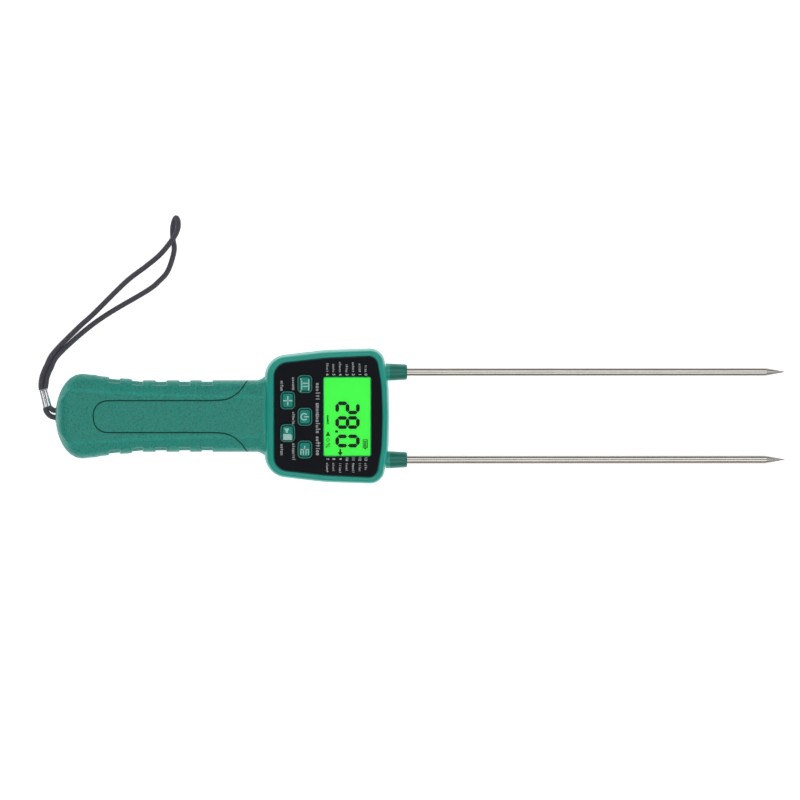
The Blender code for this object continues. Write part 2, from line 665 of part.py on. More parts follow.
def make_probes(finishes):
    for side, row in (("left", PROBE_Y), ("right", -PROBE_Y)):
        centre = (row, SPLIT_Z)
        inward = -1 if row > 0 else 1
        solid(f"probe_rod_{side}", finishes["steel"],
              (add_turned_x, centre, [(STUD_RADIUS, -30.5), (STUD_RADIUS, ROD_SHOULDER),
                                      (ROD_RADIUS, ROD_SHOULDER),
                                      (ROD_RADIUS, HALF_LENGTH - TIP_LENGTH), (0.15, HALF_LENGTH)],
               24))
        bore = STUD_RADIUS + GAP
        solid(f"probe_bush_{side}", finishes["brass"],
              (add_turned_x, centre, [(bore, -24.5), (5.5, -24.5), (5.5, -22.5),
                                      (BUSH_RADIUS, -22.5), (BUSH_RADIUS, ROD_SHOULDER - GAP),
                                      (bore, ROD_SHOULDER - GAP)], 24, True))
        tag = solid(f"solder_tag_{side}", finishes["tin"],
                    (add_turned_x, centre, [(bore, -25.4), (4.0, -25.4), (4.0, -24.8),
                                            (bore, -24.8)], 24, True))
        boolean(tag, "UNION", (add_box, (-25.4, -24.8), sorted((row + 3.2 * inward,
                               row + 9.0 * inward)), (13.6, 16.4)))
        hexes = [(row + y, SPLIT_Z + z) for y, z in hexagon(7.0, 4)]
        hole = circle_from(hexes, centre, bore)
        rings = [[(x, y, z) for y, z in outline]
                 for outline, x in ((hole, -28.9), (hexes, -28.9), (hexes, -25.7), (hole, -25.7))]
        solid(f"probe_nut_{side}", finishes["brass"], (add_loft, rings, True))
        cord(f"probe_wire_{side}", smooth_curve(
            [(-26.3, row + 8.0 * inward, 15.0), (-29.0, row + 8.2 * inward, 14.6),
             (-33.0, row + 9.5 * inward, 13.2), (-37.5, row + 11.5 * inward, 13.4),
             (-39.5, row + 12.5 * inward, 14.8), (-40.0, row + 13.0 * inward, 16.6)], 2.5),
             0.6, finishes["wire_red"])


def circle_from(outline, centre, radius):
    """The points of `outline` pulled in to a circle about `centre`."""
    points = []
    for y, z in outline:
        reach = hypot(y - centre[0], z - centre[1])
        points.append((centre[0] + (y - centre[0]) * radius / reach,
                       centre[1] + (z - centre[1]) * radius / reach))
    return points


# ---------------------------------------------------------------- wires and screws


def make_wires(finishes):
    for name, row, colour in (("battery_wire_plus", CELL_Y, "wire_red"),
                              ("battery_wire_minus", -CELL_Y, "wire_black")):
        side = 1 if row > 0 else -1
        cord(name, smooth_curve([(-112.8, row, 14.2), (-108.0, row, 14.3),
                                 (-100.0, row + 0.6 * side, 14.0), (-94.0, row + 1.6 * side, 14.4),
                                 (-90.0, row + 2.4 * side, 15.9)], 3.0),
             0.6, finishes[colour])
    for name, row, colour in (("speaker_wire_1", 3.0, "wire_red"),
                              ("speaker_wire_2", -3.0, "wire_black")):
        cord(name, smooth_curve([(-48.5, row, 6.2), (-46.5, row, 9.0), (-47.0, row, 12.5),
                                 (-48.0, row, 16.6)], 3.0),
             0.5, finishes[colour])


def screw_profile(head_radius, radius, head, tip):
    """A pan head from head[0] to head[1] and a shank up to tip."""
    return [(head_radius - 0.5, head[0]), (head_radius, head[0] + 0.5), (head_radius, head[1]),
            (radius, head[1]), (radius, tip - 1.0), (radius - 0.6, tip)]


def make_screws(finish):
    for i, middle in enumerate(CASE_SCREWS, 1):
        solid(f"case_screw_{i}", finish,
              (add_turned_z, middle, screw_profile(2.7, SCREW_RADIUS, (2.1, 4.1), 20.0)))
    for i, middle in enumerate(BOARD_SCREWS, 1):
        solid(f"board_screw_{i}", finish,
              (add_turned_z, middle, screw_profile(2.1, 1.0, (15.2, 16.7), 23.6), 12))


# ---------------------------------------------------------------- wrist strap


def lobed_outline(lobe, steps=8):
    """Section of the crimped ferrule: two circles side by side, joined where they overlap."""
    waist = acos(STRAND_SHIFT / lobe)
    points = []
    for side in (1, -1):
        for k in range(steps):
            angle = (waist - pi) + (2 * pi - 2 * waist) * (k + 0.5) / steps
            points.append((side * (STRAND_SHIFT + lobe * cos(angle)), side * lobe * sin(angle)))
    return points


def make_strap(finishes):
    route = smooth_curve(CORD_ROUTE, 6.0)
    low, high = (Vector(end) for end in FERRULE_ENDS)
    along = (high - low).normalized()
    length = (high - low).length
    radii = []
    for point in route:
        reach = (point - low).dot(along)
        aside = (point - low - along * reach).length
        inside = aside < 3.0 and -0.4 < reach < length + 0.4
        radii.append(CRIMPED if inside else 1.0)
    cord("wrist_cord", route, CORD_RADIUS, finishes["cord"], radii, roundness=2)

    across = along.cross(Vector((0, 0, 1))).normalized()
    upright = across.cross(along)
    rings = []
    for lobe, share in ((1.3, 0.0), (1.75, 0.0), (1.75, 1.0), (1.3, 1.0)):
        centre = low.lerp(high, share)
        rings.append([centre + across * a + upright * b for a, b in lobed_outline(lobe)])
    solid("cord_ferrule", finishes["steel"], (add_loft, rings, True))

    solid("strap_pin", finishes["steel"], (add_turned_z, (-226.3, 0.65),
                                           [(1.2, 2.5), (1.2, 15.5)], 12))
    knot = [(4.4 * sin(pi * k / 8) + 0.2, -219.4 + 4.5 * cos(pi * k / 8)) for k in range(9)]
    solid("cord_knot", finishes["cord"], (add_turned_x, (0.6, 9.0), knot))


def main():
    for thing in list(bpy.data.objects):
        bpy.data.objects.remove(thing, do_unlink=True)
    finishes = make_materials()
    make_front_shell(finishes["green"])
    make_rear_shell(finishes["green"])
    make_face_panel(finishes["black"])
    make_display(finishes)
    make_keys(finishes)
    make_board(finishes)
    make_speaker(finishes)
    make_batteries(finishes)
    make_battery_door(finishes["green"])
    make_probes(finishes)
    make_wires(finishes)
    make_screws(finishes["tin"])
    make_strap(finishes)


main()
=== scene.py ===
"""The looks of a hand-held grain moisture meter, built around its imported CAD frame.

Lengths in the classes below are millimetres in the frame's axes: +X along the handle to the
probe tips, +Y to the left seen from the handle, +Z out of the display. They become metres when
a mesh is made.
"""

import json
import logging
import math
from dataclasses import dataclass
from enum import Enum
from typing import Callable, Iterable, Sequence

import bmesh
import bpy
from mathutils import Matrix, Vector

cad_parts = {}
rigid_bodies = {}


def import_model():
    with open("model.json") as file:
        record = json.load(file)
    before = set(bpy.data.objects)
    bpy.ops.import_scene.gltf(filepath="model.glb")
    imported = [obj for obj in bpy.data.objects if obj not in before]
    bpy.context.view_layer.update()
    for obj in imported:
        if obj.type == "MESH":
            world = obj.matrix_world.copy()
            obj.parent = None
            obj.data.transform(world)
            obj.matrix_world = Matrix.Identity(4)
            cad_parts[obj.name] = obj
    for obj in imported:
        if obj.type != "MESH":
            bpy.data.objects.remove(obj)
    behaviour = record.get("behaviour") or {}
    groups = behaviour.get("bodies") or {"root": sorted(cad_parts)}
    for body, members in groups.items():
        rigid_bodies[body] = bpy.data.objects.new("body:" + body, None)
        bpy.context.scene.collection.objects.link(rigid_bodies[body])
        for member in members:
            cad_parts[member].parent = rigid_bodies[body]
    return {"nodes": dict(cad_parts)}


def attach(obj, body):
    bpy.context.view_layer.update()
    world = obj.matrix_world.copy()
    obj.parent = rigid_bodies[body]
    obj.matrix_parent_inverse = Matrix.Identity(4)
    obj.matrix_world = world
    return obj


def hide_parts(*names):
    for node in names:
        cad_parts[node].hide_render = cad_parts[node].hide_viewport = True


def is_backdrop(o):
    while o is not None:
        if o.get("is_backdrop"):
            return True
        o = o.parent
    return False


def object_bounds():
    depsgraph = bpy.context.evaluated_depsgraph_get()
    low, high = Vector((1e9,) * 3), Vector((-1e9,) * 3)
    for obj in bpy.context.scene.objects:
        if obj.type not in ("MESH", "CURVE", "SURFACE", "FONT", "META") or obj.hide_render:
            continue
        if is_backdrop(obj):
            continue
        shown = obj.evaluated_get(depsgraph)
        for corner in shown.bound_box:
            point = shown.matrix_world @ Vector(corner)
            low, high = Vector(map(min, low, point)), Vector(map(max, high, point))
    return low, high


LOG = logging.getLogger("moisture_meter")
MM = 0.001
HOUSING = "housing"
Point = tuple[float, ...]
Ring = list[Point]
Color = tuple[float, float, float]
Piece = bpy.types.Object
Paint = bpy.types.Material
Socket = bpy.types.NodeSocket
Tree = bpy.types.NodeTree


class Side(Enum):
    """The two sides of the meter, as the sign of Y."""

    LEFT = 1
    RIGHT = -1


class Half(Enum):
    """The two shells that meet at the parting line."""

    FRONT = "front_shell"
    REAR = "rear_shell"


class KeySign(Enum):
    """The sign printed on each key, with the name of the key's CAD node."""

    BARS = "key_bars"
    POWER = "key_power"
    FORK = "key_fork"
    PLUS = "key_plus"
    VOICE = "key_voice"


# ---- outlines and curves


def linear(red: float, green: float, blue: float) -> Color:
    """Turns display values from 0 to 255 into linear light.

    Args:
        red: Red value.
        green: Green value.
        blue: Blue value.

    Returns:
        The colour in linear light, from 0 to 1.
    """
    def one(value: float) -> float:
        """Converts one channel."""
        share = value / 255
        return share / 12.92 if share <= 0.04045 else ((share + 0.055) / 1.055) ** 2.4

    return one(red), one(green), one(blue)


def ease(value: float, low: float, high: float) -> float:
    """Smooth step from 0 at `low` to 1 at `high`."""
    share = min(1.0, max(0.0, (value - low) / (high - low)))
    return share * share * (3 - 2 * share)


def circle(radius: float, steps: int, centre: Point = (0.0, 0.0)) -> Ring:
    """Points of a circle, anticlockwise."""
    return [(centre[0] + radius * math.cos(2 * math.pi * i / steps),
             centre[1] + radius * math.sin(2 * math.pi * i / steps)) for i in range(steps)]


def rounded_rectangle(middle: Point, size: Point, radius: float, steps: int = 8) -> Ring:
    """Outline of a rectangle with round corners.

    Args:
        middle: Centre of the rectangle.
        size: Its length and width.
        radius: Corner radius.
        steps: Points on each corner.

    Returns:
        The outline, anticlockwise.
    """
    points = []
    for quarter, (sx, sy) in enumerate([(1, 1), (-1, 1), (-1, -1), (1, -1)]):
        cx = middle[0] + sx * (size[0] / 2 - radius)
        cy = middle[1] + sy * (size[1] / 2 - radius)
        for i in range(steps):
            angle = (quarter + i / (steps - 1)) * math.pi / 2
            points.append((cx + radius * math.cos(angle), cy + radius * math.sin(angle)))
    return points


def fillet(corners: Sequence[Point], steps: int) -> Ring:
    """Rounds each corner of a closed polygon with an arc.

    Args:
        corners: (x, y, radius) of each corner in order.
        steps: Points on each arc.

    Returns:
        The rounded outline.
    """
    outline = []
    for i, (x, y, radius) in enumerate(corners):
        here = Vector((x, y))
        before = (Vector(corners[i - 1][:2]) - here).normalized()
        after = (Vector(corners[(i + 1) % len(corners)][:2]) - here).normalized()
        half = math.acos(max(-1.0, min(1.0, before.dot(after)))) / 2
        centre = here + (before + after).normalized() * radius / math.sin(half)
        start = here + before * radius / math.tan(half) - centre
        turn = start.angle_signed(here + after * radius / math.tan(half) - centre)
        for k in range(steps):
            angle = math.atan2(start.y, start.x) - turn * k / (steps - 1)
            outline.append((centre.x + radius * math.cos(angle),
                            centre.y + radius * math.sin(angle)))
    return outline


def both_sides(corners: Sequence[Point], nose: Point) -> list[Point]:
    """Completes an outline from its +Y half: rear edge, +Y side, nose, then the -Y side back."""
    return [*corners, nose, *((x, -y, r) for x, y, r in reversed(corners))]


def blend(one: Ring, two: Ring, share: float) -> Ring:
    """Mixes two outlines that have the same number of points."""
    return [((1 - share) * a[0] + share * b[0], (1 - share) * a[1] + share * b[1])
            for a, b in zip(one, two)]


def inset(outline: Ring, depth: float) -> Ring:
    """Moves a closed outline inwards.

    Args:
        outline: The points in either direction of travel.
        depth: How far each point moves inwards.

    Returns:
        The smaller outline.
    """
    area = sum(a[0] * b[1] - b[0] * a[1] for a, b in zip(outline, outline[1:] + outline[:1]))
    turn = 1 if area > 0 else -1
    points = []
    for i, (x, y) in enumerate(outline):
        ahead = Vector(outline[(i + 1) % len(outline)]) - Vector(outline[i - 1])
        ahead.normalize()
        points.append((x - turn * ahead.y * depth, y + turn * ahead.x * depth))
    return points


def smooth_curve(points: Sequence[Point], spacing: float = math.inf,
                 least: int = 1) -> list[Vector]:
    """Samples a Catmull-Rom curve.

    Args:
        points: Points that the curve passes through.
        spacing: Largest distance between samples.
        least: Fewest samples from one point to the next.

    Returns:
        The samples, with both ends.
    """
    line = [Vector(p) for p in points]
    line = [2 * line[0] - line[1], *line, 2 * line[-1] - line[-2]]
    samples = []
    for a, b, c, d in zip(line, line[1:], line[2:], line[3:]):
        steps = max(least, math.ceil((c - b).length / spacing))
        for k in range(steps):
            t = k / steps
            samples.append(0.5 * (2 * b + (c - a) * t + (2 * a - 5 * b + 4 * c - d) * t * t
                                  + (3 * b - a - 3 * c + d) * t ** 3))
    samples.append(line[-2])
    return samples


# ---- meshes


class Shape:
    """A mesh in the making: solids are added to it in millimetres, then it becomes a piece."""

    def __init__(self) -> None:
        """Starts empty."""
        self.mesh = bmesh.new()

    def loft(self, rings: Sequence[Ring], cyclic: bool = False, slot: int = 0) -> "Shape":
        """Adds a closed solid through rings of equally many points.

        Args:
            rings: Rings of (x, y, z) points.
            cyclic: Joins the last ring to the first one instead of capping both.
            slot: Material slot of its faces.

        Returns:
            This shape, so that calls can follow each other.
        """
        rows = self._rows(rings)
        if cyclic:
            faces = self._faces([*rows, rows[0]], (), slot)
        else:
            faces = self._faces(rows, (rows[0], rows[-1]), slot)
        bmesh.ops.recalc_face_normals(self.mesh, faces=faces)
        return self

    def skin(self, rings: Sequence[Ring], slot: int, caps: tuple[bool, bool]) -> "Shape":
        """Adds an open or closed skin through rings, to be merged with its neighbours.

        Args:
            rings: Rings of (x, y, z) points.
            slot: Material slot of its faces.
            caps: Whether the first and the last ring are filled.

        Returns:
            This shape.
        """
        rows = self._rows(rings)
        ends = [row for row, wanted in zip((rows[0][::-1], rows[-1]), caps) if wanted]
        self._faces(rows, ends, slot)
        return self

    def _rows(self, rings: Sequence[Ring]) -> list[list[bmesh.types.BMVert]]:
        """Adds the points of each ring."""
        return [[self.mesh.verts.new(point) for point in ring] for ring in rings]

    def _faces(self, rows: Sequence[list], caps: Iterable[list],
               slot: int) -> list[bmesh.types.BMFace]:
        """Adds the caps, then the walls from each row of points to the next."""
        faces = [self.mesh.faces.new(row) for row in caps]
        for one, two in zip(rows, rows[1:]):
            faces += [self.mesh.faces.new(corners) for corners in
                      zip(one, one[1:] + one[:1], two[1:] + two[:1], two)]
        for face in faces:
            face.material_index = slot
        return faces

    def prism(self, outline: Ring, low: float, high: float, slot: int = 0,
              round_off: float = 0.0) -> "Shape":
        """Adds an upright prism, its top edge rounded by `round_off`."""
        levels = [(0.0, low)]
        if round_off:
            for k in range(4):
                angle = k / 3 * math.pi / 2
                levels.append((round_off * (1 - math.cos(angle)),
                               high - round_off * (1 - math.sin(angle))))
        else:
            levels.append((0.0, high))
        return self.loft([lift(inset(outline, depth), z) for depth, z in levels], slot=slot)

    def box(self, xs: Point, ys: Point, zs: Point, slot: int = 0) -> "Shape":
        """Adds a box from its lowest and highest x, y and z."""
        outline = [(xs[0], ys[0]), (xs[1], ys[0]), (xs[1], ys[1]), (xs[0], ys[1])]
        return self.prism(outline, *zs, slot=slot)

    def turned_z(self, centre: Point, profile: Sequence[Point], steps: int = 32,
                 cyclic: bool = False, slot: int = 0) -> "Shape":
        """Adds (radius, z) pairs turned about a vertical axis."""
        rings = [lift(circle(r, steps, centre), z) for r, z in profile]
        return self.loft(rings, cyclic, slot)

    def turned_x(self, centre: Point, profile: Sequence[Point], steps: int = 32,
                 cyclic: bool = False, slot: int = 0) -> "Shape":
        """Adds (radius, x) pairs turned about an axis along X through centre (y, z)."""
        rings = [[(x, y, z) for y, z in circle(r, steps, centre)] for r, x in profile]
        return self.loft(rings, cyclic, slot)

    def tube(self, path: Sequence[Vector], radius: Callable[[int, float], float],
             sides: int) -> "Shape":
        """Adds a round tube along a path, without twist.

        Args:
            path: Points of its middle line.
            radius: Gives the radius at a path index and an angle.
            sides: Points round it.

        Returns:
            This shape.
        """
        normal = Vector((0, 0, 1))
        rings = []
        for i, point in enumerate(path):
            ahead = (path[min(i + 1, len(path) - 1)] - path[max(i - 1, 0)]).normalized()
            normal = (normal - ahead * normal.dot(ahead)).normalized()
            across = ahead.cross(normal)
            ring = []
            for k in range(sides):
                angle = 2 * math.pi * k / sides
                reach = radius(i, angle)
                ring.append(tuple(point + normal * reach * math.cos(angle)
                                  + across * reach * math.sin(angle)))
            rings.append(ring)
        return self.loft(rings)

    def piece(self, name: str, finishes: Sequence[Paint],
              smooth: float = 40.0) -> Piece:
        """Makes the object, in metres, at the world origin.

        Args:
            name: Name of the piece.
            finishes: Its material slots.
            smooth: Edges sharper than this many degrees stay sharp.

        Returns:
            The new mesh object.
        """
        bmesh.ops.transform(self.mesh, matrix=Matrix.Scale(MM, 4), verts=self.mesh.verts)
        data = bpy.data.meshes.new(name)
        self.mesh.to_mesh(data)
        self.mesh.free()
        for finish in finishes:
            data.materials.append(finish)
        shade(data, smooth)
        return add_object(name, data)


def lift(outline: Ring, z: float) -> Ring:
    """Puts a flat outline at height z."""
    return [(x, y, z) for x, y in outline]


def shade(data: bpy.types.Mesh, smooth: float = 40.0) -> None:
    """Shades a mesh smooth, apart from the edges sharper than `smooth` degrees."""
    data.shade_smooth()
    data.set_sharp_from_angle(angle=math.radians(smooth))


def add_object(name: str, data: bpy.types.ID) -> Piece:
    """Puts data into the scene as an object at the world origin."""
    made = bpy.data.objects.new(name, data)
    bpy.context.scene.collection.objects.link(made)
    return made


def shown_mesh(holder: Piece) -> bpy.types.Mesh:
    """A plain copy of the mesh that an object shows, with its modifiers applied."""
    bpy.context.view_layer.update()
    graph = bpy.context.evaluated_depsgraph_get()
    return bpy.data.meshes.new_from_object(holder.evaluated_get(graph), depsgraph=graph)


def repaint(data: bpy.types.Mesh, finish: Paint) -> None:
    """Gives every face of a mesh the same finish."""
    data.materials.clear()
    data.materials.append(finish)
    for face in data.polygons:
        face.material_index = 0


def combine(target: Piece, operation: str, helper_shape: Shape,
            finish: Paint | None = None) -> None:
    """Joins a shape to a piece, or cuts it out of it, for good.

    Args:
        target: The piece that changes.
        operation: UNION or DIFFERENCE.
        helper_shape: The solids to join or cut with.
        finish: Material of the new faces, where they don't take the piece's own.
    """
    helper = helper_shape.piece(f"{target.name}_helper", [finish] if finish else [])
    step = target.modifiers.new("combine", "BOOLEAN")
    step.object = helper
    step.operation = operation
    step.solver = "EXACT"
    step.material_mode = "TRANSFER" if finish else "INDEX"
    settle(target)
    drop(helper)


def settle(target: Piece) -> None:
    """Replaces a piece's mesh by the one that it shows and removes its modifiers."""
    data = shown_mesh(target)
    old = target.data
    target.modifiers.clear()
    target.data = data
    data.name = target.name
    bpy.data.meshes.remove(old)
    shade(data)


def drop(helper: Piece) -> None:
    """Removes a helper object with its data."""
    data = helper.data
    bpy.data.objects.remove(helper)
    if isinstance(data, bpy.types.Mesh):
        bpy.data.meshes.remove(data)


def dress(made: Piece, body: str, slot: str, *nodes: str) -> Piece:
    """Hangs a finished piece on its CAD body.

    Args:
        made: The piece.
        body: CAD body that it rides on.
        slot: Material slot of the record; not used.
        nodes: CAD nodes that it stands for.

    Returns:
        The same piece.
    """
    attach(made, body)
    if nodes:
        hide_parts(*nodes)
    LOG.info("%s rides on %s, %d faces", made.name, body, len(made.data.polygons))
    return made


# ---- finishes


class Wiring:
    """Adds and joins nodes in one node tree."""

    def __init__(self, tree: Tree) -> None:
        """Keeps the tree that the nodes go into."""
        self.tree = tree

    def add(self, kind: str, values: dict | None = None, **settings: object) -> bpy.types.Node:
        """Adds a node.

        Args:
            kind: Type of the node.
            values: Input name or number, with the value or the socket that feeds it.
            settings: Attributes of the node.

        Returns:
            The new node.
        """
        node = self.tree.nodes.new(kind)
        for name, value in settings.items():
            setattr(node, name, value)
        self.fill(node.inputs, values or {})
        return node

    def fill(self, inputs: bpy.types.NodeInputs, values: dict) -> None:
        """Feeds several inputs of a node, each by its name or number."""
        for name, value in values.items():
            self.feed(inputs[name], value)

    def feed(self, socket: Socket, value: object) -> None:
        """Links a socket to another one, or sets its constant."""
        if isinstance(value, Socket):
            self.tree.links.new(value, socket)
        else:
            socket.default_value = value

    def math(self, operation: str, *values: object) -> Socket:
        """Adds a Math node and returns its result."""
        return self.add("ShaderNodeMath", dict(enumerate(values)), operation=operation).outputs[0]

    def place(self) -> Socket:
        """The point on the object, in metres."""
        return self.add("ShaderNodeTexCoord").outputs["Object"]

    def axes(self, vector: Socket) -> bpy.types.NodeOutputs:
        """The X, Y and Z of a vector."""
        return self.add("ShaderNodeSeparateXYZ", {0: vector}).outputs

    def remap(self, value: Socket, ends: Point, values: Point, **settings: object) -> Socket:
        """Maps the range between two ends to the range between two values."""
        return self.add("ShaderNodeMapRange", {
            "Value": value, "From Min": ends[0], "From Max": ends[1], "To Min": values[0],
            "To Max": values[1]}, **settings).outputs[0]


class Group(Wiring):
    """A node group with named sockets."""

    def __init__(self, name: str, kind: str, inputs: dict[str, tuple[str, object]],
                 outputs: dict[str, str]) -> None:
        """Makes the group and its sockets.

        Args:
            name: Name of the group.
            kind: Shader or geometry node tree.
            inputs: Socket type and default of each input.
            outputs: Socket type of each output.
        """
        super().__init__(bpy.data.node_groups.new(name, kind))
        for title, (socket_type, value) in inputs.items():
            socket = self.tree.interface.new_socket(title, in_out="INPUT",
                                                    socket_type=socket_type)
            if value is not None:
                socket.default_value = value
        for title, socket_type in outputs.items():
            self.tree.interface.new_socket(title, in_out="OUTPUT", socket_type=socket_type)
        self.inlet = self.add("NodeGroupInput").outputs
        self.outlet = self.add("NodeGroupOutput")

    def result(self, name: str, socket: Socket) -> None:
        """Links a socket to an output of the group."""
        self.tree.links.new(socket, self.outlet.inputs[name])


FLOAT, COLOR, VECTOR = "NodeSocketFloat", "NodeSocketColor", "NodeSocketVector"


class Effects:
    """The shader groups that the finishes share."""

    def __init__(self) -> None:
        """Builds each group once."""
        self.tone = self._tone()
        self.grain = self._grain()
        self.streaks = self._streaks()

    def _tone(self) -> Tree:
        """A colour whose brightness drifts in patches and specks, plus painted light and shade that
        follows a relief.
        """
        group = Group("tone_drift", "ShaderNodeTree",
                      {"Color": (COLOR, (0.5, 0.5, 0.5, 1.0)), "Amount": (FLOAT, 0.1),
                       "Scale": (FLOAT, 60.0), "Level": (FLOAT, 1.0), "Relief": (FLOAT, 0.5),
                       "Contrast": (FLOAT, 0.0)}, {"Color": COLOR})
        place = group.place()
        scale = group.inlet["Scale"]
        patch = group.add("ShaderNodeTexNoise", {"Vector": place, "Scale": scale, "Detail": 3.0})
        speck = group.add("ShaderNodeTexNoise", {"Vector": place, "Detail": 2.0,
                                                 "Scale": group.math("MULTIPLY", scale, 14.0)})
        both = group.math("ADD", patch.outputs[0], speck.outputs[0])
        drift = group.math("SUBTRACT", both, 1.0)
        drifted = group.math("MULTIPLY_ADD", drift, group.inlet["Amount"], group.inlet["Level"])
        relief = group.math("SUBTRACT", group.inlet["Relief"], 0.5)
        value = group.math("MULTIPLY_ADD", relief, group.inlet["Contrast"], drifted)
        shifted = group.add("ShaderNodeHueSaturation",
                            {"Color": group.inlet["Color"], "Value": value})
        group.result("Color", shifted.outputs["Color"])
        return group.tree

    def _grain(self) -> Tree:
        """The fine pebbled texture of a moulded part, as a normal and a mask of its pits."""
        group = Group("moulded_grain", "ShaderNodeTree",
                      {"Scale": (FLOAT, 900.0), "Depth": (FLOAT, 0.5), "Distance": (FLOAT, 0.0003)},
                      {"Normal": VECTOR, "Pits": FLOAT, "Height": FLOAT})
        place = group.place()
        scale = group.inlet["Scale"]
        pebble = group.add("ShaderNodeTexVoronoi", {"Vector": place, "Scale": scale,
                                                    "Smoothness": 0.6}, feature="SMOOTH_F1")
        crumb = group.add("ShaderNodeTexNoise", {"Vector": place, "Detail": 4.0,
                                                 "Scale": group.math("MULTIPLY", scale, 1.3)})
        low = group.math("MULTIPLY", pebble.outputs["Distance"], 0.8)
        height = group.math("SUBTRACT", crumb.outputs[0], low)
        bump = group.add("ShaderNodeBump", {"Strength": group.inlet["Depth"], "Height": height,
                                            "Distance": group.inlet["Distance"]})
        group.result("Normal", bump.outputs["Normal"])
        group.result("Pits", pebble.outputs["Distance"])
        group.result("Height", group.math("ADD", height, 0.3))
        return group.tree

    def _streaks(self) -> Tree:
        """Fine parallel lines, as a normal and a mask."""
        group = Group("fine_streaks", "ShaderNodeTree",
                      {"Stretch": (VECTOR, (100.0, 4000.0, 4000.0)), "Depth": (FLOAT, 0.1),
                       "Distance": (FLOAT, 0.0001)}, {"Normal": VECTOR, "Lines": FLOAT})
        stretched = group.add("ShaderNodeVectorMath", {0: group.place(),
                                                       1: group.inlet["Stretch"]},
                              operation="MULTIPLY")
        lines = group.add("ShaderNodeTexNoise", {"Vector": stretched.outputs[0], "Scale": 1.0,
                                                 "Detail": 3.0})
        bump = group.add("ShaderNodeBump", {"Strength": group.inlet["Depth"],
                                            "Height": lines.outputs[0],
                                            "Distance": group.inlet["Distance"]})
        group.result("Normal", bump.outputs["Normal"])
        group.result("Lines", lines.outputs[0])
        return group.tree


@dataclass(frozen=True)
class Finish:
    """One surface finish.

    Attributes:
        name: Name of the material.
        tint: Base colour in linear light.
        roughness: Middle of its roughness.
        metallic: 1 for bare metal.
        drift: How far its tone drifts.
        patch: Size of the drift's patches in millimetres.
        grain: Depth of the moulded grain.
        grain_size: Size of one grain in millimetres.
        speckle: How much lighter the grain's peaks are painted than its pits, as painted light and
            shade on the relief.
        streaks: Lines in each metre along X, Y and Z, for a ground or drawn surface.
        streak_depth: Depth of those lines.
        gloss: Level of its mirror-like reflection.
        coat: Strength of a clear coat.
        glow: Strength of its own light.
        clear: Share of the light that passes through.
    """

    name: str
    tint: Color
    roughness: float
    metallic: float = 0.0
    drift: float = 0.12
    patch: float = 12.0
    grain: float = 0.0
    grain_size: float = 0.9
    speckle: float = 0.5
    streaks: Point | None = None
    streak_depth: float = 0.12
    gloss: float = 0.5
    coat: float = 0.0
    glow: float = 0.0
    clear: float = 0.0

    def build(self, effects: Effects) -> Paint:
        """Makes the material.

        Args:
            effects: The shared shader groups.

        Returns:
            The material.
        """
        made = bpy.data.materials.new(self.name)
        made.use_nodes = True
        wiring = Wiring(made.node_tree)
        tone = wiring.add("ShaderNodeGroup", {
            "Color": (*self.tint, 1.0), "Amount": self.drift, "Scale": 1000 / self.patch,
            "Level": self.level(wiring)}, node_tree=effects.tone)
        color = tone.outputs["Color"]
        values = {"Base Color": color, "Roughness": self.roughness, "Metallic": self.metallic,
                  "Specular IOR Level": self.gloss, "Coat Weight": self.coat,
                  "Coat Roughness": 0.06, "Transmission Weight": self.clear}
        if self.glow:
            values |= {"Emission Color": color, "Emission Strength": self.glow}
        if self.grain:
            depth = self.depth(wiring)
            grain = wiring.add("ShaderNodeGroup", {"Scale": 1000 / self.grain_size, "Depth": depth},
                               node_tree=effects.grain).outputs
            # The grain's peaks are painted lighter and its pits darker: painted light and shade on
            # the grain.
            wiring.fill(tone.inputs, {"Relief": grain["Height"], "Contrast": wiring.math(
                "MULTIPLY", depth, self.speckle)})
            values |= {"Normal": grain["Normal"], "Roughness": self.spread(wiring, grain["Pits"])}
        elif self.streaks:
            lines = wiring.add("ShaderNodeGroup", {
                "Stretch": self.streaks, "Depth": self.streak_depth},
                node_tree=effects.streaks).outputs
            values |= {"Normal": lines["Normal"], "Roughness": self.spread(wiring, lines["Lines"])}
        wiring.fill(made.node_tree.nodes["Principled BSDF"].inputs, values)
        return made

    def depth(self, wiring: Wiring) -> float | Socket:
        """Depth of the grain; the same everywhere unless a finish says otherwise."""
        return self.grain

    def level(self, wiring: Wiring) -> float | Socket:
        """Overall brightness of the tone; 1 unless a finish says otherwise."""
        return 1.0

    def spread(self, wiring: Wiring, mask: Socket) -> Socket:
        """Roughness that follows a mask."""
        return wiring.math("MULTIPLY_ADD", mask, 0.25 * self.roughness, 0.87 * self.roughness)


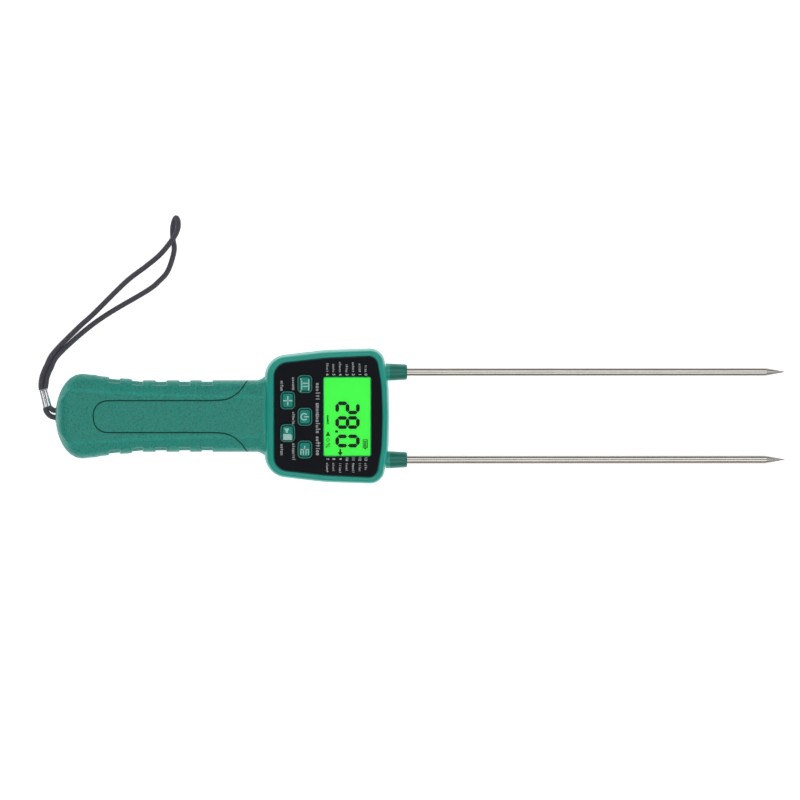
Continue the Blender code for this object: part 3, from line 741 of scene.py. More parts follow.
@dataclass(frozen=True)
class HousingFinish(Finish):
    """The moulding's finish: pebbled along the handle and almost smooth on the head.

    Attributes:
        satin: Depth of the grain on the head.
        meeting: Where along X the two textures meet, in millimetres.
        levels: Brightness of the handle, the head and the probe sockets.
        sockets: Where along X the head meets the sockets, in millimetres.
        rubbed: How much brighter a painted highlight makes the two ridges of the handle.
        band: Half of a ridge's painted highlight band, at its full strength and at its edge, in
            millimetres.
        band_shift: How far outside the ridge the band lies, in millimetres.
        band_above: Height above which the band shows, in millimetres.
    """

    satin: float = 0.12
    meeting: Point = (-101.5, -99.5)
    levels: Point = (0.9, 1.1, 0.52)
    sockets: Point = (-20.0, -19.4)
    rubbed: float = 0.17
    band: Point = (0.3, 1.7)
    band_shift: float = 0.8
    band_above: float = 21.0

    def depth(self, wiring: Wiring) -> Socket:
        """Depth of the grain, falling from the handle to the head."""
        return self._change(wiring, self.meeting, (self.grain, self.satin))

    def level(self, wiring: Wiring) -> Socket:
        """Brightness along X: the handle, the head, then the sockets, plus a painted highlight along
        the handle's two ridges.
        """
        handle, head, socket = self.levels
        first = self._change(wiring, self.meeting, (handle, head))
        second = self._change(wiring, self.sockets, (0.0, head - socket))
        along = wiring.math("SUBTRACT", first, second)
        return wiring.math("MULTIPLY_ADD", self._ridges(wiring), self.rubbed, along)

    def _ridges(self, wiring: Wiring) -> Socket:
        """A mask of the painted highlight along the two ridges beside the crown, which follows
        HousingForm.ridge.
        """
        form = HousingForm()
        near, spread = form.ridge_reach
        start, length = form.ridge_run
        axes = wiring.axes(wiring.place())
        share = wiring.math("MULTIPLY_ADD", axes["X"], -1 / (length * MM), start / length)
        squared = wiring.math("MULTIPLY", share, share)
        ridge = wiring.math("MULTIPLY_ADD", squared, spread * MM, (near + self.band_shift) * MM)
        aside = wiring.math("ABSOLUTE", axes["Y"])
        away = wiring.math("ABSOLUTE", wiring.math("SUBTRACT", aside, ridge))
        bright = wiring.remap(away, (self.band[1] * MM, self.band[0] * MM), (0.0, 1.0),
                              interpolation_type="SMOOTHSTEP")
        above = wiring.math("GREATER_THAN", axes["Z"], self.band_above * MM)
        behind = self._change(wiring, self.meeting, (1.0, 0.0))
        return wiring.math("MULTIPLY", wiring.math("MULTIPLY", bright, above), behind)

    @staticmethod
    def _change(wiring: Wiring, ends: Point, values: Point) -> Socket:
        """A value that changes along X between two places in millimetres."""
        along = wiring.axes(wiring.place())["X"]
        return wiring.remap(along, (ends[0] * MM, ends[1] * MM), values)


GREEN = (0.011, 0.425, 0.33)


class Paints:
    """Every finish, built once, found by its name."""

    FINISHES: tuple[Finish, ...] = (
        HousingFinish("moulded_green", GREEN, 0.3, drift=0.08, patch=9.0, grain=1.0,
                      grain_size=1.05, speckle=0.75, gloss=0.55),
        # Painted shade: a darker green for the faces of the groove cut into the handle's crown.
        Finish("moulded_shade", linear(26, 92, 78), 0.6, drift=0.1, patch=9.0, gloss=0.2),
        # Painted highlight: a paler green for the beads along the grip notches.
        Finish("moulded_edge", linear(112, 186, 170), 0.4, drift=0.1, patch=4.0),
        Finish("key_green", (0.008, 0.36, 0.285), 0.3, drift=0.1, patch=5.0, grain=0.1,
               grain_size=0.6, gloss=0.35),
        # Painted highlight on each key's ring, and painted shade in its moat.
        Finish("key_ring", (0.075, 0.3, 0.25), 0.3, drift=0.08, patch=3.0),
        Finish("key_moat", (0.004, 0.085, 0.062), 0.5, drift=0.1, patch=3.0, gloss=0.2),
        Finish("key_print", linear(190, 240, 228), 0.5, drift=0.05, patch=2.0),
        Finish("panel_gloss", linear(30, 32, 38), 0.12, drift=0.25, patch=7.0, gloss=0.3,
               coat=0.2),
        Finish("panel_print", linear(205, 208, 208), 0.5, drift=0.06, patch=2.0),
        Finish("window_clear", (0.97, 1.0, 0.98), 0.03, drift=0.01, clear=1.0, gloss=0.25),
        Finish("display_glow", linear(70, 236, 75), 0.5, drift=0.05, patch=18.0, glow=0.85,
               gloss=0.1),
        Finish("display_ink", linear(8, 22, 10), 0.6, drift=0.1, patch=4.0),
        Finish("display_faint", linear(10, 76, 20), 0.6, drift=0.1, patch=4.0),
        Finish("light_guide", (0.82, 0.84, 0.82), 0.3, drift=0.04, glow=0.15),
        Finish("dark_plastic", linear(44, 45, 48), 0.45, drift=0.2, grain=0.2, grain_size=0.5),
        Finish("soft_rubber", linear(30, 30, 31), 0.75, drift=0.3, grain=0.3, grain_size=0.4),
        Finish("board_mask", linear(18, 92, 50), 0.35, drift=0.25, patch=3.0, coat=0.4),
        Finish("solder", linear(196, 198, 200), 0.3, metallic=1.0, drift=0.15, patch=1.0),
        Finish("ground_steel", linear(215, 210, 204), 0.13, metallic=1.0, drift=0.06, patch=3.0,
               streaks=(60.0, 2600.0, 2600.0), streak_depth=0.08),
        Finish("turned_steel", linear(212, 208, 202), 0.16, metallic=1.0, drift=0.06, patch=3.0,
               streaks=(5200.0, 60.0, 60.0), streak_depth=0.15),
        Finish("plated_steel", linear(205, 206, 208), 0.24, metallic=1.0, drift=0.1, patch=2.0,
               streaks=(900.0, 900.0, 4000.0), streak_depth=0.12),
        Finish("crimped_metal", linear(226, 228, 230), 0.2, metallic=1.0, drift=0.1, patch=1.5,
               streaks=(1500.0, 900.0, 1500.0), streak_depth=0.25),
        Finish("brass", linear(196, 160, 84), 0.26, metallic=1.0, drift=0.12, patch=2.0,
               streaks=(4200.0, 120.0, 120.0), streak_depth=0.15),
        Finish("cell_sleeve", linear(46, 74, 124), 0.3, drift=0.12, patch=8.0, coat=0.3),
        Finish("cell_band", linear(206, 178, 92), 0.3, metallic=0.7, drift=0.1, patch=6.0),
        Finish("wire_red", linear(176, 30, 26), 0.4, drift=0.12, patch=2.0, coat=0.2),
        Finish("wire_black", linear(34, 34, 36), 0.4, drift=0.2, patch=2.0, coat=0.2),
        Finish("paper_cone", linear(52, 50, 47), 0.85, drift=0.3, patch=1.5, grain=0.5,
               grain_size=0.4),
        Finish("braid", linear(91, 89, 98), 0.72, drift=0.55, patch=1.6, grain=0.5,
               grain_size=0.28, gloss=0.4),
    )

    def __init__(self) -> None:
        """Builds the shared effects and the finishes."""
        effects = Effects()
        self.made = {finish.name: finish.build(effects) for finish in self.FINISHES}

    def __getitem__(self, name: str) -> Paint:
        """The material of that name."""
        return self.made[name]

    def some(self, *names: str) -> list[Paint]:
        """The materials of those names, in order."""
        return [self.made[name] for name in names]


# ---- studio


@dataclass(frozen=True)
class Studio:
    """The pale floor, the softboxes and the camera above.

    Attributes:
        target: Point of the middle plane that the camera looks at.
        lean: How far the camera stands beside the target, along X and Y.
        span: Width of the view at that height.
        lens: Focal length of the camera.
        sensor: Width of its sensor.
        box_height: Height of the softboxes.
        box_near: Distance in Y from the middle to the near edge of each softbox.
        box_far: Distance in Y to its far edge.
        box_length: Its length along X.
        radiance: Light that each softbox gives off.
        sky: Light from overhead between the softboxes.
        horizon: Light from low down, all round.
        dusk: Height on a unit sky where the light from low down has faded.
        floor_glow: Light of the floor itself, as if lit from below.
    """

    target: Point = (-13.2, 10.2, 15.0)
    lean: Point = (-81.0, 161.0)
    span: float = 512.0
    lens: float = 350.0
    sensor: float = 36.0
    box_height: float = 1700.0
    box_near: float = 260.0
    box_far: float = 1480.0
    box_length: float = 2600.0
    radiance: float = 1.18
    sky: float = 0.07
    horizon: float = 0.5
    dusk: float = 0.7
    floor_glow: float = 0.8

    def build(self) -> None:
        """Makes the floor, the world, the lights and the camera."""
        scene = bpy.context.scene
        scene.view_settings.view_transform = "Standard"
        scene.world = bpy.data.worlds.new("studio")
        scene.world.use_nodes = True
        back = scene.world.node_tree.nodes["Background"].inputs
        wiring = Wiring(scene.world.node_tree)
        ray = wiring.add("ShaderNodeTexCoord").outputs["Generated"]
        light = wiring.remap(wiring.axes(ray)["Z"], (0.0, self.dusk), (self.horizon, self.sky))
        wiring.fill(back, {"Color": (0.94, 0.97, 1.0, 1.0), "Strength": light})
        self._floor()
        for side in Side:
            self._softbox(side)
        self._camera()

    def _floor(self) -> None:
        """A pale sweep under the meter."""
        shape = Shape().prism(circle(2600, 96), -12.0, -0.02)
        paint = bpy.data.materials.new("studio_floor")
        paint.use_nodes = True
        wiring = Wiring(paint.node_tree)
        noise = wiring.add("ShaderNodeTexNoise", {"Vector": wiring.place(), "Scale": 3.0})
        tone = wiring.remap(noise.outputs[0], (0.0, 1.0), (0.86, 0.9))
        wiring.fill(paint.node_tree.nodes["Principled BSDF"].inputs, {
            "Base Color": tone, "Roughness": 0.9, "Specular IOR Level": 0.1,
            "Emission Color": (1.0, 1.0, 1.0, 1.0), "Emission Strength": self.floor_glow})
        shape.piece("studio_floor", [paint])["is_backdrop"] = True

    def _softbox(self, side: Side) -> None:
        """One softbox, on one side of the camera."""
        near, far = self.box_near * MM, self.box_far * MM
        light = bpy.data.lights.new(f"softbox_{side.name.lower()}", "AREA")
        light.shape = "RECTANGLE"
        light.size = self.box_length * MM
        light.size_y = far - near
        light.energy = self.radiance * math.pi * light.size * light.size_y
        holder = add_object(light.name, light)
        holder.location = (self.target[0] * MM, side.value * (near + far) / 2,
                           self.box_height * MM)
        holder.visible_camera = False

    def _camera(self) -> None:
        """The camera above the face, with +Y at the top of the view."""
        camera = bpy.data.cameras.new("face_view")
        camera.lens = self.lens
        camera.sensor_width = self.sensor
        holder = add_object("face_view", camera)
        target = Vector(self.target)
        place = target + Vector((*self.lean, self.span * self.lens / self.sensor))
        back = (place - target).normalized()
        up = (Vector((0, 1, 0)) - back * back.y).normalized()
        turn = Matrix((up.cross(back), up, back)).transposed().to_4x4()
        holder.matrix_world = Matrix.Translation(place * MM) @ turn
        bpy.context.scene.camera = holder


# ---- housing


@dataclass(frozen=True)
class HousingForm:
    """Shape of the moulding, shared by its two shells.

    Attributes:
        head: Half of the head's outline, as (x, y, corner radius).
        head_nose: The corner in the middle of its front edge.
        recess: The same corners of the recess for the panel.
        recess_nose: The recess's middle corner.
        widths: (x, half width) where the handle's outline changes.
        end_x: Rear end of the handle.
        end_reach: Length of its elliptical end.
        split: Height of the parting line.
        top: Height of the bezel.
        crown: Height of the handle's crown above the parting line.
        ridge_run: Where the ridges beside the crown start along X, and how long they are.
        ridge_reach: Distance of a ridge from the middle at its start, and what it gains.
        bed: Height of the deck under the panel.
        notches: Middle of each grip notch along X.
        notch_length: Length of a notch.
        notch_depth: Depth of a notch.
        probe_y: Distance of the probes from the middle.
        case_screws: Places of the screws that join the shells.
        board_screws: Places of the screws that hold the circuit board.
        groove: The decorative line on the handle, from its middle round to one side.
    """

    head: tuple[Point, ...] = ((-99.8, 37.9, 14.3), (-61.0, 42.4, 120.0), (-24.3, 43.6, 9.5),
                               (-20.5, 20.0, 60.0))
    head_nose: Point = (-19.9, 0.0, 200.0)
    recess: tuple[Point, ...] = ((-94.0, 33.8, 9.0), (-61.0, 37.5, 110.0), (-28.4, 39.0, 6.0),
                                 (-25.2, 20.0, 60.0))
    recess_nose: Point = (-24.5, 0.0, 180.0)
    widths: tuple[Point, ...] = ((-217.0, 27.2), (-210.0, 26.6), (-203.0, 25.5), (-196.0, 24.5),
                                 (-188.0, 24.1), (-180.0, 23.0), (-104.0, 23.0), (-101.5, 24.2),
                                 (-97.0, 28.5), (-92.0, 30.0))
    end_x: float = -233.7
    end_reach: float = 16.7
    split: float = 15.0
    top: float = 30.0
    crown: float = 11.0
    ridge_run: Point = (-101.0, 117.0)
    ridge_reach: Point = (12.0, 4.0)
    bed: float = 28.0
    notches: tuple[float, ...] = (-195.9, -181.3, -166.2, -151.0, -136.7)
    notch_length: float = 7.4
    notch_depth: float = 1.1
    probe_y: float = 28.1
    case_screws: tuple[Point, ...] = ((-34.5, 33.8), (-34.5, -33.8), (-88.5, 30.0),
                                      (-88.5, -30.0), (-216.4, 13.6), (-216.4, -13.6))
    board_screws: tuple[Point, ...] = ((-90.0, 21.0), (-90.0, -21.0))
    groove: tuple[Point, ...] = ((-209.4, 0.0), (-208.8, 4.0), (-206.6, 7.6), (-203.0, 9.7),
                                 (-198.0, 10.2), (-180.0, 10.2), (-160.0, 10.2), (-142.0, 10.2),
                                 (-129.0, 10.4), (-122.0, 11.9), (-116.0, 16.0), (-111.0, 22.6))

    def half_width(self, x: float) -> float:
        """Half of the handle's width at x."""
        first_x, first_width = self.widths[0]
        if x < first_x:
            share = (first_x - x) / self.end_reach
            return first_width * math.sqrt(max(0.02, 1 - share * share))
        for (x0, w0), (x1, w1) in zip(self.widths, self.widths[1:]):
            if x <= x1:
                return w0 + (w1 - w0) * ease(x, x0, x1)
        return self.widths[-1][1]

    def ridge(self, x: float) -> float:
        """Distance from the middle of the handle to the ridge beside its crown."""
        start, length = self.ridge_run
        near, spread = self.ridge_reach
        share = (start - x) / length
        return near + spread * share * share

    def end_rounding(self, x: float, reach: float, least: float) -> float:
        """1 along the handle, falling on an ellipse to `least` at its rear end."""
        share = max(0.0, (reach + self.end_x - x) / reach)
        return max(least, math.sqrt(max(0.0, 1 - share * share)))

    def crown_line(self, x: float) -> Ring:
        """(y, height) of the handle's section above the parting line, on its +Y side."""
        width = self.half_width(x)
        size = min(1.0, width / 20.0)
        up = self.end_rounding(x, 7.0, 0.3)
        crest = min(self.ridge(x), width - 8.0 * size)
        marks = [(width, 0.0), (width - 0.3 * size, 2.6), (width - 1.6 * size, 5.3),
                 (width - 4.3 * size, 7.7), (crest + 1.2 * size, 9.75), (crest - 0.8 * size, 10.4),
                 (crest / 2, 10.85), (0.0, self.crown)]
        return [(y, h * up) for y, h in smooth_curve(marks, least=4)]

    def belly_line(self, x: float) -> Ring:
        """(y, depth) of the section below the parting line, on its +Y side."""
        width = self.half_width(x)
        size = min(1.0, width / 20.0)
        down = self.end_rounding(x, 5.0, 0.45)
        marks = [(width, 0.0), (width - 0.3 * size, 3.0), (width - 1.4 * size, 7.5),
                 (width - 4.0 * size, 12.4), (width - 8.0 * size, self.split)]
        return [(y, h * down) for y, h in smooth_curve(marks, least=4)]

    def section(self, x: float) -> Ring:
        """The handle's whole outer section at x."""
        upper, lower = self.crown_line(x), self.belly_line(x)
        above = upper + [(-y, h) for y, h in reversed(upper[:-1])]
        below = [(-y, h) for y, h in lower[1:]] + lower[:0:-1]
        return ([(x, y, self.split + h) for y, h in above]
                + [(x, y, self.split - h) for y, h in below])

    def surface(self, x: float, y: float) -> float:
        """Height of the handle's top surface at (x, y)."""
        line = self.crown_line(x)
        for (y0, h0), (y1, h1) in zip(line, line[1:]):
            if y1 <= abs(y) <= y0:
                share = (abs(y) - y0) / (y1 - y0) if y1 != y0 else 0.0
                return self.split + h0 + (h1 - h0) * share
        return self.split + line[0][1]

    def handle(self, shape: Shape) -> None:
        """Adds the handle's outer solid."""
        first = self.widths[0][0]
        tail = [first - self.end_reach * math.sin(math.radians(a))
                for a in (90, 86, 82, 77, 71, 64, 56, 47, 37, 26, 13)]
        body = [first + (self.widths[-1][0] - first) * k / 92 for k in range(93)]
        shape.loft([self.section(x) for x in tail + body])

    def cavity(self, shape: Shape) -> None:
        """Adds the hollow inside the handle."""
        rings = []
        for x in (-228.5, -226.0, -222.0, *(x for x, _ in self.widths)):
            width = self.half_width(x) - 5.2
            up = self.end_rounding(x, 7.0, 0.42)
            crest = min(self.ridge(x) - 2.0, width - 3.0)
            upper = [(width, 0.0), (width - 0.3, 3.0), (width - 1.6, 5.2), (crest, 7.6)]
            above = upper + [(0.0, 8.4)] + [(-y, h) for y, h in reversed(upper)]
            lower = [(1.0 - width, 4.0), (3.0 - width, 2.2), (width - 3.0, 2.2), (width - 1.0, 4.0)]
            rings.append([(x, y, self.split + h * up) for y, h in above]
                         + [(x, y, z) for y, z in lower])
        shape.loft(rings)

    def head_rings(self, steps: int = 14) -> tuple[Ring, Ring]:
        """The head's outline and the recess's, point for point."""
        return (fillet(both_sides(self.head, self.head_nose), steps),
                fillet(both_sides(self.recess, self.recess_nose), steps))

    def head_solid(self, shape: Shape) -> None:
        """Adds the head with its rounded bezel."""
        outline, recess = self.head_rings()
        sides = ((5.0, 0.0), (3.9, 0.35), (2.6, 1.3), (1.7, 2.5), (1.0, 4.2), (0.6, 6.3),
                 (0.3, 9.0), (0.1, 12.0), (0.0, self.split), (0.0, 17.0), (0.2, 20.5),
                 (0.4, 23.0), (0.6, 25.2), (0.8, 26.6))
        bezel = ((0.2, 27.6), (0.24, 28.3), (0.28, 28.75), (0.33, 29.1), (0.4, 29.42),
                 (0.48, 29.7), (0.55, 29.87), (0.64, 29.97), (0.74, self.top), (0.83, 29.94),
                 (0.9, 29.8), (0.95, 29.6), (0.98, 29.3), (1.0, 28.8), (1.0, self.bed))
        rings = [lift(inset(outline, depth), z) for depth, z in sides]
        rings += [lift(blend(outline, recess, share), z) for share, z in bezel]
        shape.loft(rings)

    def head_cavity(self, shape: Shape) -> None:
        """Adds the hollow inside the head."""
        outline, _ = self.head_rings(6)
        steps = ((7.0, 2.2), (4.6, 3.4), (3.2, 5.5), (2.6, 10.0), (2.4, self.split), (2.6, 24.5),
                 (3.6, 26.0))
        shape.loft([lift(inset(outline, depth), z) for depth, z in steps])

    def bosses(self, shape: Shape) -> None:
        """Adds the two tapered sockets that hold the probes."""
        self._at_probes(shape, [(5.65, -24.0), (5.5, -19.9), (5.32, -16.4), (5.12, -13.0),
                                (4.98, -10.2), (4.85, -9.2), (4.55, -8.7)], 56)

    def bores(self, shape: Shape) -> None:
        """Adds the bores for the probe bushes."""
        self._at_probes(shape, [(5.8, -27.0), (5.8, -22.2), (4.1, -22.2), (4.1, -15.0),
                                (3.3, -15.0), (3.3, -9.3), (3.75, -8.6), (3.8, -6.0)], 48)

    def _at_probes(self, shape: Shape, profile: Sequence[Point], steps: int) -> None:
        """Adds the same turned solid round both probes."""
        for side in Side:
            shape.turned_x((side.value * self.probe_y, self.split), profile, steps)

    def grips(self, shape: Shape) -> None:
        """Adds the cutters of the grip notches, each with sloping ends."""
        half, slope = self.notch_length / 2, 0.45
        for x in self.notches:
            for side in Side:
                rings = []
                for reach, share in ((-half, 0.0), (slope - half, 1.0), (half - slope, 1.0),
                                     (half, 0.0)):
                    width = self.half_width(x + reach)
                    edge = width + 0.02 - (self.notch_depth + 0.02) * share
                    brow = width - 1.75 - 1.55 * share
                    rings.append([(x + reach, side.value * y, z) for y, z in
                                  ((edge, 7.5), (edge, 18.0), (brow, 20.6), (brow, 27.0),
                                   (width + 5.0, 27.0), (width + 5.0, 7.5))])
                shape.loft(rings)

    def line(self, shape: Shape) -> None:
        """Adds the thin tube that cuts the decorative line into the crown."""
        route = smooth_curve(self.groove, 1.6)
        whole = [(p.x, -p.y) for p in reversed(route[1:])] + [(p.x, p.y) for p in route]
        path = [Vector((x, y, self.surface(x, y) - 0.16)) for x, y in whole]
        path = [2 * path[0] - path[1], *path, 2 * path[-1] - path[-2]]
        shape.tube(path, lambda i, angle: 0.48, 10)

    def beads(self, shape: Shape) -> None:
        """Adds the thin raised edge along the inner side and the front end of each notch."""
        half = self.notch_length / 2
        for x in self.notches:
            for side in Side:
                path = []
                for reach, depth in ((-half, 3.35), (0.0, 3.35), (half - 0.7, 3.35),
                                     (half - 0.15, 3.1), (half, 2.6), (half, 1.6), (half, 0.8)):
                    y = self.half_width(x + reach) - depth
                    path.append(Vector((x + reach, side.value * y,
                                        self.surface(x + reach, y) - 0.12)))
                shape.tube(path, lambda i, angle: 0.36, 10)


@dataclass(frozen=True)
class BayForm:
    """Battery bay, its cells and its cover.

    Attributes:
        ends: The bay's ends along X.
        half: Half of its width.
        cell_radius: Radius of a cell.
        cell_length: Length of a cell with its nub.
        nub: Length of the nub.
        cell_z: Height of the cells' middle lines.
        cell_y: Distance of the cells from the middle.
        spring: Length of a spring.
        plate: Thickness of a contact plate.
        gap: Room between two pieces.
        door_top: Inner side of the door.
        hinge: Radius of the door's round edge.
    """

    ends: Point = (-210.1, -113.4)
    half: float = 13.8
    cell_radius: float = 5.25
    cell_length: float = 44.5
    nub: float = 1.0
    cell_z: float = 8.2
    cell_y: float = 5.6
    spring: float = 5.6
    plate: float = 0.4
    gap: float = 0.3
    door_top: float = 2.5
    hinge: float = 1.1


@dataclass(frozen=True)
class FaceForm:
    """Places on the face: the keys, the window and the loudspeaker behind.

    Attributes:
        keys: Middle of each key.
        key_size: Length and width of a key.
        key_corner: Its corner radius.
        key_top: Height of its top.
        window: The window's ends along X.
        window_half: Half of its width.
        window_corner: Its corner radius.
        panel_top: Height of the panel and the window.
        lcd_top: Height of the display cell.
        speaker: Middle of the loudspeaker.
        gap: Room between two pieces.
    """

    keys: tuple[tuple[KeySign, Point], ...] = (
        (KeySign.BARS, (-74.2, 20.9)), (KeySign.POWER, (-74.2, 0.0)),
        (KeySign.FORK, (-74.2, -20.9)), (KeySign.PLUS, (-85.1, 10.45)),
        (KeySign.VOICE, (-85.1, -10.45)))
    key_size: Point = (9.4, 11.5)
    key_corner: float = 2.9
    key_top: float = 30.4
    window: Point = (-62.6, -31.7)
    window_half: float = 25.6
    window_corner: float = 1.6
    panel_top: float = 29.5
    lcd_top: float = 25.6
    speaker: Point = (-62.0, 0.0)
    gap: float = 0.3

    def key_outline(self, middle: Point, margin: float, steps: int = 9) -> Ring:
        """A key's outline, grown by `margin`."""
        size = [side + 2 * margin for side in self.key_size]
        return rounded_rectangle(middle, size, self.key_corner + margin, steps)

    def window_outline(self, margin: float) -> Ring:
        """The window's outline, grown by `margin`."""
        size = (self.window[1] - self.window[0] + 2 * margin, 2 * (self.window_half + margin))
        return rounded_rectangle((sum(self.window) / 2, 0.0), size, self.window_corner + margin, 7)


class Assembly:
    """A group of pieces that are built together."""

    def __init__(self, paints: Paints, nodes: dict[str, Piece]) -> None:
        """Keeps the finishes and the CAD nodes.

        Args:
            paints: Every finish.
            nodes: The CAD nodes by name.
        """
        self.paints = paints
        self.nodes = nodes
        self.form = HousingForm()
        self.bay = BayForm()
        self.face = FaceForm()

    def build(self) -> None:
        """Makes the pieces."""
        raise NotImplementedError

    def paint_node(self, name: str, finish: str, slot: str) -> None:
        """Gives a CAD node that is shown as it is its finish.

        Args:
            name: The node.
            finish: Its finish.
            slot: Material slot of the record; not used.
        """
        node = self.nodes[name]
        for place in node.material_slots:
            place.material = self.paints[finish]

    def add(self, shape: Shape, name: str, finish: str, slot: str, *nodes: str,
            smooth: float = 40.0) -> Piece:
        """Makes a piece of the housing's body that has one finish."""
        made = shape.piece(name, [self.paints[finish]], smooth)
        return dress(made, HOUSING, slot, *nodes)


class Shells(Assembly):
    """The front and the rear shell."""

    def build(self) -> None:
        """Makes the whole moulding once, parts it and finishes both halves."""
        whole = self._whole()
        front, rear = (self._half(whole, half) for half in Half)
        drop(whole)
        self._finish_front(front)
        self._finish_rear(rear)

    def _whole(self) -> Piece:
        """The hollow moulding before it is parted."""
        form = self.form
        shape = Shape()
        form.head_solid(shape)
        whole = shape.piece("whole_moulding", [self.paints["moulded_green"]])
        for operation, makers in (
                ("UNION", (form.handle,)), ("UNION", (form.bosses,)),
                ("DIFFERENCE", (form.head_cavity,)), ("DIFFERENCE", (form.cavity,)),
                ("DIFFERENCE", (form.bores, form.grips))):
            self._work(whole, operation, *makers)
        return whole

    @staticmethod
    def _work(target: Piece, operation: str, *makers: Callable[[Shape], None],
              finish: Paint | None = None) -> None:
        """Joins to a piece, or cuts out of it, what the makers add to one shape."""
        helper = Shape()
        for maker in makers:
            maker(helper)
        combine(target, operation, helper, finish)

    def _half(self, whole: Piece, half: Half) -> Piece:
        """One half of the moulding, cut at the parting line with its own small gap."""
        made = add_object(f"{half.value}_moulding", whole.data.copy())
        middle = self.form.split
        away = (-5.0, middle + 0.15) if half is Half.FRONT else (middle - 0.15, 40.0)
        combine(made, "DIFFERENCE", Shape().box((-240.0, 0.0), (-60.0, 60.0), away))
        return made

    @staticmethod
    def _posts(places: Iterable[Point], profile: Sequence[Point]) -> Shape:
        """The same turned solid at several places."""
        shape = Shape()
        for place in places:
            shape.turned_z(place, profile, 28)
        return shape

    def _finish_front(self, shell: Piece) -> None:
        """Adds the screw posts, the openings, the line on the handle in a painted shade and the
        notch beads in a painted highlight.
        """
        form, face = self.form, self.face
        head = [p for p in form.case_screws if p[0] > -100]
        tail = [p for p in form.case_screws if p[0] < -100]
        for operation, places, radius, low, high in (
                ("UNION", head, 4.3, 15.15, 26.6), ("UNION", tail, 4.3, 15.15, 23.2),
                ("UNION", form.board_screws, 2.6, 18.9, 26.6),
                ("DIFFERENCE", form.case_screws, 1.8, 11.0, 21.5),
                ("DIFFERENCE", form.board_screws, 1.3, 16.0, 24.5)):
            combine(shell, operation, self._posts(places, [(radius, low), (radius, high)]))
        openings = Shape()
        for _, middle in face.keys:
            openings.prism(face.key_outline(middle, face.gap), 25.0, 29.0)
        openings.prism(face.window_outline(-0.7), 25.0, 29.0)
        combine(shell, "DIFFERENCE", openings)
        # The groove's own faces take a painted shade.
        self._work(shell, "DIFFERENCE", form.line, finish=self.paints["moulded_shade"])
        # The beads' faces take a painted highlight.
        self._work(shell, "UNION", form.beads, finish=self.paints["moulded_edge"])
        self._dress(shell, Half.FRONT)

    def _finish_rear(self, shell: Piece) -> None:
        """Adds the posts, ribs and speaker ring, then the bay, grille, slot and screw holes."""
        form, bay, face = self.form, self.bay, self.face
        low, high = bay.ends
        sides = (low + 1.1, high - 1.1)
        combine(shell, "UNION", self._posts(form.case_screws, [(4.3, 1.0), (4.3, 14.85)]))
        ribs = Shape()
        for xs, ys, top in ((sides, (14.2, 15.4), 10.0), (sides, (-15.4, -14.2), 10.0),
                            ((-211.9, -210.4), (-12.6, 12.6), 13.0),
                            ((-113.2, -111.7), (-12.6, 12.6), 13.0)):
            ribs.box(xs, ys, (1.0, top))
        ribs.turned_z(face.speaker, [(15.8, 1.0), (17.2, 1.0), (17.2, 5.5), (15.8, 5.5)], 64, True)
        combine(shell, "UNION", ribs)
        cuts = self._posts(form.case_screws, [(3.4, -1.0), (3.4, 0.0), (3.1, 0.35), (3.1, 4.4)])
        cuts.box((low, high), (-bay.half, bay.half), (-1.0, 3.0))
        cuts.box((-236.0, -226.0), (-4.2, 5.75), (7.25, 10.7))
        combine(shell, "DIFFERENCE", cuts)
        combine(shell, "DIFFERENCE", self._grille(face.speaker, 12.0))
        combine(shell, "DIFFERENCE", self._posts(form.case_screws, [(1.9, 3.0), (1.9, 18.0)]))
        self._dress(shell, Half.REAR)

    @staticmethod
    def _grille(middle: Point, reach: float) -> Shape:
        """The slots in front of the loudspeaker, wider at their mouths."""
        shape = Shape()
        for k in range(-3, 4):
            x = middle[0] + 3.2 * k
            half = math.sqrt(reach * reach - (3.2 * k) ** 2)
            slot = rounded_rectangle((x, middle[1]), (1.4, 2 * half), 0.69, 6)
            mouth = rounded_rectangle((x, middle[1]), (2.1, 2 * half + 0.7), 1.04, 6)
            shape.loft([lift(mouth, -0.4), lift(mouth, 0.0), lift(slot, 0.4), lift(slot, 3.0)])
        return shape

    def _dress(self, shell: Piece, half: Half) -> None:
        """Names a finished shell and hangs it on the housing's body in place of its CAD node."""
        shell.name = f"{half.value}_body"
        dress(shell, HOUSING, "housing_green", half.value)


@dataclass(frozen=True)
class MarkRow:
    """One line of small neutral marks, where a caption would stand.

    Attributes:
        x: The line's foot and top along X.
        y: Where the line starts and ends along Y; it reads towards -Y.
        pitch: Distance between two marks.
    """

    x: Point
    y: Point
    pitch: float = 1.38


def plain_marks(pen: float = 0.18, half: float = 0.27, top: float = 0.7) -> list[Shape]:
    """Small neutral signs: a bar, a cross, a ring and two brackets.

    Args:
        pen: Width of their lines, as a share of the tallest one's height.
        half: Half of their width.
        top: Height of the short ones.

    Returns:
        The signs, standing on x = 0 and one unit thick.
    """
    flat = (-0.5, 0.5)

    def oval(margin: float, z: float) -> Ring:
        """An upright oval, `margin` inside the sign's outline."""
        return lift([(top / 2 + (top / 2 - margin) * x, (half - margin) * y)
                     for x, y in circle(1.0, 12)], z)

    bar = Shape().box((0.0, 1.0), (-pen / 2, pen / 2), flat)
    cross = Shape().box((0.0, 1.0), (-pen / 2, pen / 2), flat)
    ring = Shape().loft([oval(0.0, -0.5), oval(0.0, 0.5), oval(pen, 0.5), oval(pen, -0.5)], True)
    brackets = []
    for beam in ((top - pen, top), (0.0, pen)):
        bracket = Shape().box(beam, (pen - half, half - pen), flat)
        brackets.append(bracket)
        for side in Side:
            ends = sorted((side.value * half, side.value * (half - pen)))
            bracket.box((0.0, top), ends, flat)
    for side in Side:
        cross.box((top - pen, top), sorted((side.value * half, side.value * pen / 2)), flat)
    return [bar, cross, ring, *brackets]


